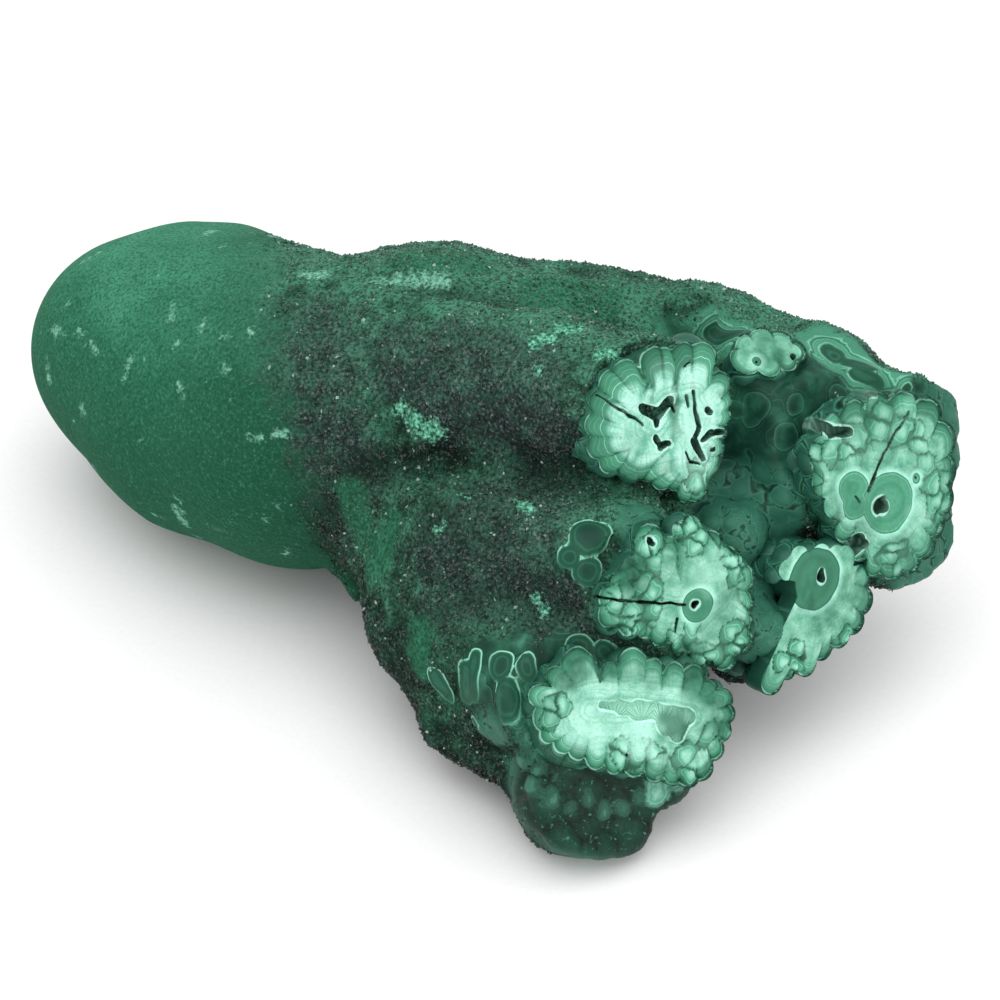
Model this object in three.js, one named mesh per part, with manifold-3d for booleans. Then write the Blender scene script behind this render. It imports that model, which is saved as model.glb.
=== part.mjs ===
// Malachite specimen: a smooth rounded stump that divides into a bundle of stalactite fingers,
// each finger broken off flat so that its banded section and central tube show.
// Millimetres, +Z up, resting on z = 0 on three small flats.
import * as THREE from "three";
import { mergeVertices } from "three/addons/utils/BufferGeometryUtils.js";
import Module from "manifold-3d";

// ---- driving dimensions (mm) ----
const GRID = 3.9; // pitch of the body's surface facets
const FACET_BACK = 1.2; // the body stops this far behind each broken face
const CUT_BLOCK = 60; // side of the block that trims a finger end
const LOBE_PITCH = 5.2; // spacing of the rounded lobes round a finger end
const LOBE_RADIUS = 2.7;
const FLANK = 1.5; // the flank stands this far outside the cores, so the lobes show by the rest
const LOBE_DEPTH = 6.5; // the lobes run back this far along the finger
const OVERRUN = 1; // bars pass the face by this much before it is cut flat
const CORE_DEPTH = 9; // length of a finger end that is modelled lobe by lobe
const HOLE_DEPTH = 7;

// Body limbs: tapered round bars [x, y, z, radius] to [x, y, z, radius], then the softness of the join.
const LIMBS = [
  // rounded stump at the left, with a low boss on its back
  [[-51.0, 40.0, 21.8, 17.9], [-40.5, 33.5, 21.4, 22.0], 5],
  [[-40.5, 33.5, 21.4, 22.0], [-30.0, 26.5, 22.8, 22.6], 5],
  [[-44.0, 48.0, 30.0, 5.5], [-39.5, 49.0, 29.5, 5.5], 9],
  // neck and main mass
  [[-24.5, 21.5, 26.0, 20.5], [-11.5, 19.5, 29.0, 19.5], 9],
  [[-11.5, 18.5, 30.5, 17.5], [8.5, 12.5, 29.0, 17.5], 9],
  [[8.5, 12.5, 29.0, 16.5], [27.5, 10.5, 29.5, 11.0], 8],
  // ridge along the back
  [[-9.0, 24.5, 36.2, 12.0], [12.5, 21.0, 35.5, 12.0], 6],
  [[13.5, 21.0, 35.6, 11.5], [27.5, 18.5, 35.6, 11.0], 6],
  [[27.0, 18.0, 35.0, 10.5], [42.0, 12.5, 33.6, 11.2], 6],
  [[42.0, 12.5, 33.6, 10.5], [51.0, 9.0, 34.0, 7.0], 5],
  // skirt that runs down to the lowest finger
  [[-7.5, 3.0, 22.0, 13.2], [-1.0, -8.0, 18.0, 15.6], 8],
  [[-4.0, -9.5, 15.0, 13.5], [0.5, -18.5, 13.0, 12.0], 6],
  [[-5.5, -23.5, 9.0, 5.5], [-1.0, -27.0, 8.0, 6.0], 5],
  [[3.0, -1.5, 20.0, 14.5], [14.5, -2.0, 20.0, 14.0], 8],
  // flank under the right-hand fingers, and the hidden foot below it
  [[20.0, 0.0, 20.0, 11.0], [34.0, -16.5, 18.0, 4.8], 6],
  [[17.0, 8.0, 14.0, 13.5], [29.0, 2.0, 10.5, 11.5], 8],
];

// Fingers: the middle of the broken face and the way it faces, the root [x, y, z, radius] that it
// grows from, the round cores of its section as [across, up, radius] in the face, and its openings
// as slots [across, up, across, up, width].
const FINGERS = [
  {
    at: [21.0, -7.5, 46.0],
    facing: [0.5, -0.76, 0.41],
    root: [-5.0, 10.0, 40.5, 11.5],
    cores: [[0, 2.2, 8.2], [3.6, -5, 5.4]],
    slots: [[7.3, 2.9, 5.6, -4.5, 1.3], [-1.8, 1.2, 0.6, 2.2, 2.2], [-1.6, -3.4, 1.0, -2.2, 1.8]],
  },
  {
    at: [25.5, -22.5, 28.0],
    facing: [0.46, -0.77, 0.44],
    root: [-2.5, -8.0, 29.0, 10.5],
    cores: [[-6.6, 5.2, 5.2], [0, 4.2, 6], [2.2, -2.4, 5.2]],
    slots: [[-1.2, 0, 0.4, 0, 1.4]],
  },
  {
    at: [18.5, -34.0, 18.0],
    facing: [0.36, -0.74, 0.56],
    root: [-1.0, -17.0, 17.0, 12.5],
    cores: [[-8.6, 3, 6.2], [0, 2.4, 6.6], [5.8, -2, 6], [8.2, -2, 3.4]],
    slots: [[-5.3, 4.2, 6, -4.4, 1.8]],
  },
  {
    at: [42.0, -13.5, 25.0],
    facing: [0.55, -0.74, 0.38],
    root: [21.0, 1.0, 24.0, 9.5],
    cores: [[0.4, -0.4, 4.6], [3.4, -5.4, 4.4], [-3.4, -7.6, 3.6]],
    slots: [[0, -0.5, 0, 0.5, 1.1]],
  },
  {
    at: [51.0, -4.5, 30.0],
    facing: [0.52, -0.74, 0.42],
    root: [26.0, 13.0, 33.0, 10.5],
    cores: [[-1.2, 9, 6], [5.6, 7.4, 6.4], [7.4, 0.4, 5.8], [0, 1, 6.4], [1.6, -5.6, 4.2]],
    slots: [[-0.4, 0, 0.4, 0, 2.2], [-6, -3.4, -5.2, -3, 1.6], [-7.4, 11.8, -3.6, 13, 1.6]],
  },
  {
    at: [35.5, 5.5, 46.5],
    facing: [0.3, -0.38, 0.87],
    root: [31.0, 13.0, 37.0, 6.0],
    cores: [[-2.4, 0.3, 2.4], [2.4, -0.5, 2.6]],
    slots: [[3.4, -1.6, 3.8, -1.8, 1.2]],
  },
];

// Whole rounded lobes [x, y, z, radius]: under the lowest finger, then beside the others.
const KNOBS = [
  [9.5, -37.0, 7.0, 7.6],
  [16.0, -36.5, 7.5, 6.8],
  [21.5, -33.5, 10.0, 5.8],
  [3.5, -32.0, 8.5, 5.6],
  [11.5, -13.0, 31.5, 4.6],
  [30.8, -9.2, 29.0, 4.6],
  [57.0, -0.5, 22.5, 5.6],
];

// ---- helpers ----
const wasm = await Module();
wasm.setup();

const vec = (p) => new THREE.Vector3(p[0], p[1], p[2]);

function solid(geometry) {
  const bare = geometry.clone();
  bare.deleteAttribute("normal");
  bare.deleteAttribute("uv");
  const merged = mergeVertices(bare, 1e-4);
  const vertProperties = merged.attributes.position.array;
  const triVerts = new Uint32Array(merged.index.array);
  return new wasm.Manifold(new wasm.Mesh({ numProp: 3, vertProperties, triVerts }));
}

function place(geometry, matrix) {
  return solid(geometry.applyMatrix4(matrix));
}

const joined = (solids) => solids.reduce((whole, next) => whole.add(next));

// A face's own axes: across (level), up the face, and out of it.
function faceAxes(finger) {
  const out = vec(finger.facing).normalize();
  const across = new THREE.Vector3(0, 0, 1).cross(out).normalize();
  const up = out.clone().cross(across);
  return new THREE.Matrix4().makeBasis(across, up, out).setPosition(vec(finger.at));
}

// ---- the body, as one smooth surface ----
function barDistance(p, [a, b, radiusA, radiusB]) {
  const along = b.clone().sub(a);
  const t = THREE.MathUtils.clamp(p.clone().sub(a).dot(along) / along.lengthSq(), 0, 1);
  return p.distanceTo(along.multiplyScalar(t).add(a)) - THREE.MathUtils.lerp(radiusA, radiusB, t);
}

function softMin(a, b, softness) {
  const h = Math.max(softness - Math.abs(a - b), 0) / softness;
  return Math.min(a, b) - (h * h * softness) / 4;
}

const limbs = LIMBS.map(([a, b, softness]) => [[vec(a), vec(b), a[3], b[3]], softness]);
const ridges = FINGERS.map((finger) => {
  const axes = faceAxes(finger);
  const facing = new THREE.Plane().setFromNormalAndCoplanarPoint(
    vec(finger.facing).normalize(),
    vec(finger.at),
  );
  const bars = finger.cores.map(([s, t, radius]) => {
    const end = new THREE.Vector3(s, t, 0).applyMatrix4(axes);
    return [vec(finger.root), end, finger.root[3], radius + FLANK];
  });
  return { facing, bars };
});

function bodyDistance(p) {
  let d = Infinity;
  for (const [bar, softness] of limbs) d = softMin(d, barDistance(p, bar), softness);
  for (const { facing, bars } of ridges) {
    const ridge = Math.min(...bars.map((bar) => barDistance(p, bar)));
    d = softMin(d, Math.max(ridge, facing.distanceToPoint(p) + FACET_BACK), 4);
  }
  return d;
}

// Cracks narrower than the grid would meet along an edge: their grid points are made just solid.
function fillPinches(value, node, [nx, ny, nz], pitch) {
  for (let filled = 1; filled > 0; ) {
    filled = 0;
    for (let k = 0; k < nz - 1; k++)
      for (let j = 0; j < ny - 1; j++)
        for (let i = 0; i < nx - 1; i++)
          for (const [u, v] of [[[1, 0, 0], [0, 1, 0]], [[0, 1, 0], [0, 0, 1]], [[0, 0, 1], [1, 0, 0]]]) {
            const near = [node(i, j, k), node(i + u[0] + v[0], j + u[1] + v[1], k + u[2] + v[2])];
            const far = [node(i + u[0], j + u[1], k + u[2]), node(i + v[0], j + v[1], k + v[2])];
            const solidNear = near.filter((n) => value[n] < 0).length;
            const solidFar = far.filter((n) => value[n] < 0).length;
            if (solidNear + solidFar !== 2 || solidNear === 1) continue;
            for (const n of solidNear ? far : near) value[n] = -0.02 * pitch;
            filled++;
          }
  }
}

// Closed surface round every point where the distance is negative: one vertex in each grid cell
// that the surface passes through, and one square across each grid edge that it crosses.
function surface(distance, box, pitch) {
  const count = box.getSize(new THREE.Vector3()).divideScalar(pitch).ceil().addScalar(1);
  const [nx, ny, nz] = count.toArray();
  const node = (i, j, k) => i + nx * (j + ny * k);
  const at = (i, j, k) => new THREE.Vector3(i, j, k).multiplyScalar(pitch).add(box.min);
  const value = new Float64Array(nx * ny * nz);
  for (let k = 0; k < nz; k++)
    for (let j = 0; j < ny; j++)
      for (let i = 0; i < nx; i++) value[node(i, j, k)] = distance(at(i, j, k));
  fillPinches(value, node, [nx, ny, nz], pitch);
  const corners = [0, 1, 2, 3, 4, 5, 6, 7].map((c) => [c & 1, (c >> 1) & 1, c >> 2]);
  const positions = [];
  const vertexOf = new Map();
  const cellVertex = (i, j, k) => {
    const key = node(i, j, k);
    if (vertexOf.has(key)) return vertexOf.get(key);
    const sum = new THREE.Vector3();
    let crossings = 0;
    for (const c of corners)
      for (let axis = 0; axis < 3; axis++) {
        if (c[axis]) continue;
        const e = c.map((x, a) => (a === axis ? 1 : x));
        const v0 = value[node(i + c[0], j + c[1], k + c[2])];
        const v1 = value[node(i + e[0], j + e[1], k + e[2])];
        if (v0 < 0 === v1 < 0) continue;
        const start = at(i + c[0], j + c[1], k + c[2]);
        sum.add(start.lerp(at(i + e[0], j + e[1], k + e[2]), v0 / (v0 - v1)));
        crossings++;
      }
    positions.push(...sum.divideScalar(crossings).toArray());
    vertexOf.set(key, positions.length / 3 - 1);
    return positions.length / 3 - 1;
  };
  const index = [];
  for (let k = 1; k < nz - 1; k++)
    for (let j = 1; j < ny - 1; j++)
      for (let i = 1; i < nx - 1; i++)
        for (let axis = 0; axis < 3; axis++) {
          const c = [i, j, k];
          const inside = value[node(...c)] < 0;
          const next = c.map((x, a) => x + (a === axis ? 1 : 0));
          if (inside === value[node(...next)] < 0) continue;
          const [u, v] = [(axis + 1) % 3, (axis + 2) % 3];
          const ring = [[1, 1], [0, 1], [0, 0], [1, 0]].map(([du, dv]) =>
            cellVertex(...c.map((x, a) => x - (a === u ? du : 0) - (a === v ? dv : 0))),
          );
          if (!inside) ring.reverse();
          index.push(ring[0], ring[1], ring[2], ring[0], ring[2], ring[3]);
        }
  return new THREE.BufferGeometry()
    .setAttribute("position", new THREE.Float32BufferAttribute(positions, 3))
    .setIndex(index);
}

// ---- finger ends, lobe by lobe ----
// A round bar along +Z from z = -depth to just past the face at z = 0, narrower at its root.
function bar(radius, rootRadius, depth, sides) {
  const length = depth + OVERRUN;
  const geometry = new THREE.CylinderGeometry(radius, rootRadius, length, sides);
  return geometry.rotateX(Math.PI / 2).translate(0, 0, OVERRUN - length / 2);
}

function fingerEnd(finger) {
  const axes = faceAxes(finger);
  const parts = [];
  for (const [s, t, radius] of finger.cores) {
    parts.push(place(bar(radius, radius, CORE_DEPTH, 14).translate(s, t, 0), axes));
    const lobes = Math.round((2 * Math.PI * radius) / LOBE_PITCH);
    for (let i = 0; i < lobes; i++) {
      const turn = (2 * Math.PI * (i + 0.3 * Math.sin(7 * i))) / lobes;
      const [x, y] = [s + radius * Math.cos(turn), t + radius * Math.sin(turn)];
      const buried = finger.cores.some(([cs, ct, r]) => Math.hypot(x - cs, y - ct) < r - 0.5);
      if (buried) continue;
      const size = LOBE_RADIUS * (1 + 0.15 * Math.sin(5 * i + s));
      const depth = LOBE_DEPTH * (1 + 0.2 * Math.sin(3 * i + t));
      parts.push(place(bar(size, 0.75 * size, depth, 8).translate(x, y, 0), axes));
    }
  }
  const ahead = new THREE.BoxGeometry(CUT_BLOCK, CUT_BLOCK, CUT_BLOCK).translate(0, 0, CUT_BLOCK / 2);
  return joined(parts).subtract(place(ahead, axes));
}

function slotCutter(finger, [s0, t0, s1, t1, width]) {
  const length = Math.hypot(s1 - s0, t1 - t0);
  const shape = new THREE.CylinderGeometry(width / 2, width / 2, 2 * HOLE_DEPTH, 10).rotateX(Math.PI / 2);
  shape.scale(1 + length / width, 1, 1);
  shape.rotateZ(Math.atan2(t1 - t0, s1 - s0));
  shape.translate((s0 + s1) / 2, (t0 + t1) / 2, 0);
  return place(shape, faceAxes(finger));
}

const box = new THREE.Box3(new THREE.Vector3(-76, -52, -10), new THREE.Vector3(72, 66, 66));
const knobs = KNOBS.map(([x, y, z, r]) => solid(new THREE.IcosahedronGeometry(r, 2).translate(x, y, z)));
const whole = joined([solid(surface(bodyDistance, box, GRID)), ...FINGERS.map(fingerEnd), ...knobs]);
const openings = joined(FINGERS.flatMap((finger) => finger.slots.map((s) => slotCutter(finger, s))));
const below = solid(new THREE.BoxGeometry(300, 300, 40).translate(0, 0, -20));
const trimmed = whole.subtract(openings).subtract(below);
// the outer shell alone: gaps that lobes close off inside the stone are solid
const stone = trimmed.decompose().reduce((a, b) => (b.volume() > a.volume() ? b : a));

// ---- the part ----
const { numProp, vertProperties, triVerts } = stone.getMesh();
const geometry = new THREE.BufferGeometry();
geometry.setAttribute("position", new THREE.BufferAttribute(vertProperties, numProp));
geometry.setIndex(new THREE.BufferAttribute(triVerts, 1));
geometry.computeBoundingBox();
const centre = geometry.boundingBox.getCenter(new THREE.Vector3());
geometry.translate(-centre.x, -centre.y, -geometry.boundingBox.min.z);
const flat = geometry.toNonIndexed();
flat.computeVertexNormals();

const mesh = new THREE.Mesh(
  flat,
  new THREE.MeshStandardMaterial({ color: "#2c7650", roughness: 0.7, metalness: 0 }),
);
mesh.name = "malachite_stone";
const part = new THREE.Group();
part.add(mesh);
export default part;
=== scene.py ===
"""Malachite specimen: a velvety stump that divides into broken, banded stalactite fingers.

Lengths in the layout tables are millimetres, measured from the layout's own origin; every finished
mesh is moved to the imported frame, in metres, by to_frame().
"""
import functools
import math

import bpy
import numpy as np
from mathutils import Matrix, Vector


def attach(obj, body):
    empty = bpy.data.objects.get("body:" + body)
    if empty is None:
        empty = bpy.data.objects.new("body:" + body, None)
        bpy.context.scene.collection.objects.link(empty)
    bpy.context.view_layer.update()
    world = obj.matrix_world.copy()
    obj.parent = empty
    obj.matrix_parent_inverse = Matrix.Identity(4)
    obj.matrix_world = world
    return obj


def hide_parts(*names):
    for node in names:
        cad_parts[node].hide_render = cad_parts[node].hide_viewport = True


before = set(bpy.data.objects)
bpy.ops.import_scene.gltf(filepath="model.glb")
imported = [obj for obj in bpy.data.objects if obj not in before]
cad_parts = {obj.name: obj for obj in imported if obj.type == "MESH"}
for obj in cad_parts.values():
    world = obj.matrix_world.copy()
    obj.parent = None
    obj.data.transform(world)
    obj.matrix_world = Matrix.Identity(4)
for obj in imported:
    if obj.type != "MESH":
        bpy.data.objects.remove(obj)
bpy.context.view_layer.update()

bl_info = {
    "name": "Malachite specimen",
    "version": (1, 0, 0),
    "blender": (4, 5, 0),
    "location": "View3D > Sidebar > Malachite",
    "description": "Builds a stalactitic malachite specimen round its packed solid",
    "category": "Object",
}

MM = 0.001
NODE = "malachite_stone"
CENTRE = np.array([-2.25, 6.65, 0.0])  # the layout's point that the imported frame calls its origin

# ---- layout (mm) ----
# Body limbs: tapered round bars [x, y, z, radius] to [x, y, z, radius], then the softness of the join.
LIMBS = [
    ((-51.0, 40.0, 21.5, 17.7), (-40.5, 33.5, 20.9, 21.6), 5),
    ((-40.5, 33.5, 20.9, 21.6), (-30.0, 26.5, 22.0, 22.0), 5),
    ((-44.0, 48.0, 30.0, 5.5), (-39.5, 49.0, 29.5, 5.5), 9),
    ((-24.5, 21.5, 25.6, 20.2), (-11.5, 19.5, 29.0, 19.5), 9),
    ((-11.5, 18.5, 30.5, 17.5), (8.5, 12.5, 29.0, 17.5), 9),
    ((8.5, 12.5, 29.0, 16.5), (27.5, 10.5, 29.5, 11.0), 8),
    ((-7.5, 24.5, 36.9, 12.2), (12.5, 21.0, 34.8, 11.7), 6),
    ((13.5, 21.0, 35.4, 11.7), (27.0, 18.5, 36.6, 11.5), 6),
    ((28.0, 17.5, 34.4, 10.1), (42.0, 12.5, 33.5, 11.0), 5),
    ((42.0, 12.5, 33.3, 10.5), (51.5, 9.0, 33.6, 7.0), 5),
    ((-8.2, 2.2, 20.6, 13.4), (-1.0, -8.0, 18.0, 15.6), 8),
    ((-4.4, -9.5, 15.0, 13.5), (0.7, -18.5, 13.0, 11.9), 6),
    ((-6.2, -23.8, 8.4, 5.3), (-1.0, -27.0, 8.0, 5.4), 5),
    ((3.0, -1.5, 20.0, 14.5), (14.5, -2.0, 20.0, 14.0), 8),
    ((20.0, 0.0, 20.0, 11.0), (34.0, -16.5, 18.0, 4.8), 6),
    ((17.0, 8.0, 14.0, 13.5), (29.0, 2.0, 10.5, 11.5), 8),
]
# Whole rounded lobes [x, y, z, radius].
KNOBS = [
    (9.5, -37.0, 7.0, 7.6), (14.4, -36.5, 7.3, 6.3), (19.8, -33.5, 10.6, 5.2), (4.0, -32.0, 8.5, 5.3),
    (-9.8, 0.2, 37.6, 3.0), (11.5, -13.0, 31.5, 4.6), (30.8, -9.2, 29.0, 4.6), (57.8, 8.4, 33.8, 4.6),
    (55.4, 9.0, 38.2, 3.2), (33.0, -10.0, 9.5, 6.0), (-21.0, 6.0, 11.0, 3.2), (-18.5, 2.4, 10.0, 3.4),
    (25.5, 13.5, 48.8, 4.2), (57.8, 7.0, 30.8, 4.9), (57.2, 5.4, 27.6, 5.2), (55.5, 2.0, 23.5, 5.5),
    (57.4, 0.0, 20.9, 5.5), (54.8, -1.8, 19.6, 5.1), (51.8, -3.0, 18.8, 4.6),
]
# Deep creases between the limbs: [x, y, z] to [x, y, z] and radius.
CREASES = [
    ((-15, -3.5, 35), (-9, -4.5, 36), 1.3), ((-9, -4.5, 36), (-4.5, -7.5, 38.5), 1.8),
    ((-22, 25, 50), (-11, 16.5, 52), 1.3), ((-11, 16.5, 52), (5.5, 13.5, 51.5), 1.4),
    ((5.5, 13.5, 51.5), (15, 4, 56), 1.2), ((15, 4, 56), (20, 7, 50.5), 1.6),
    ((-4.5, -8, 39), (4, -10, 40), 1.2), ((4, -10, 40), (13, -12.5, 42), 1.4),
]
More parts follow.
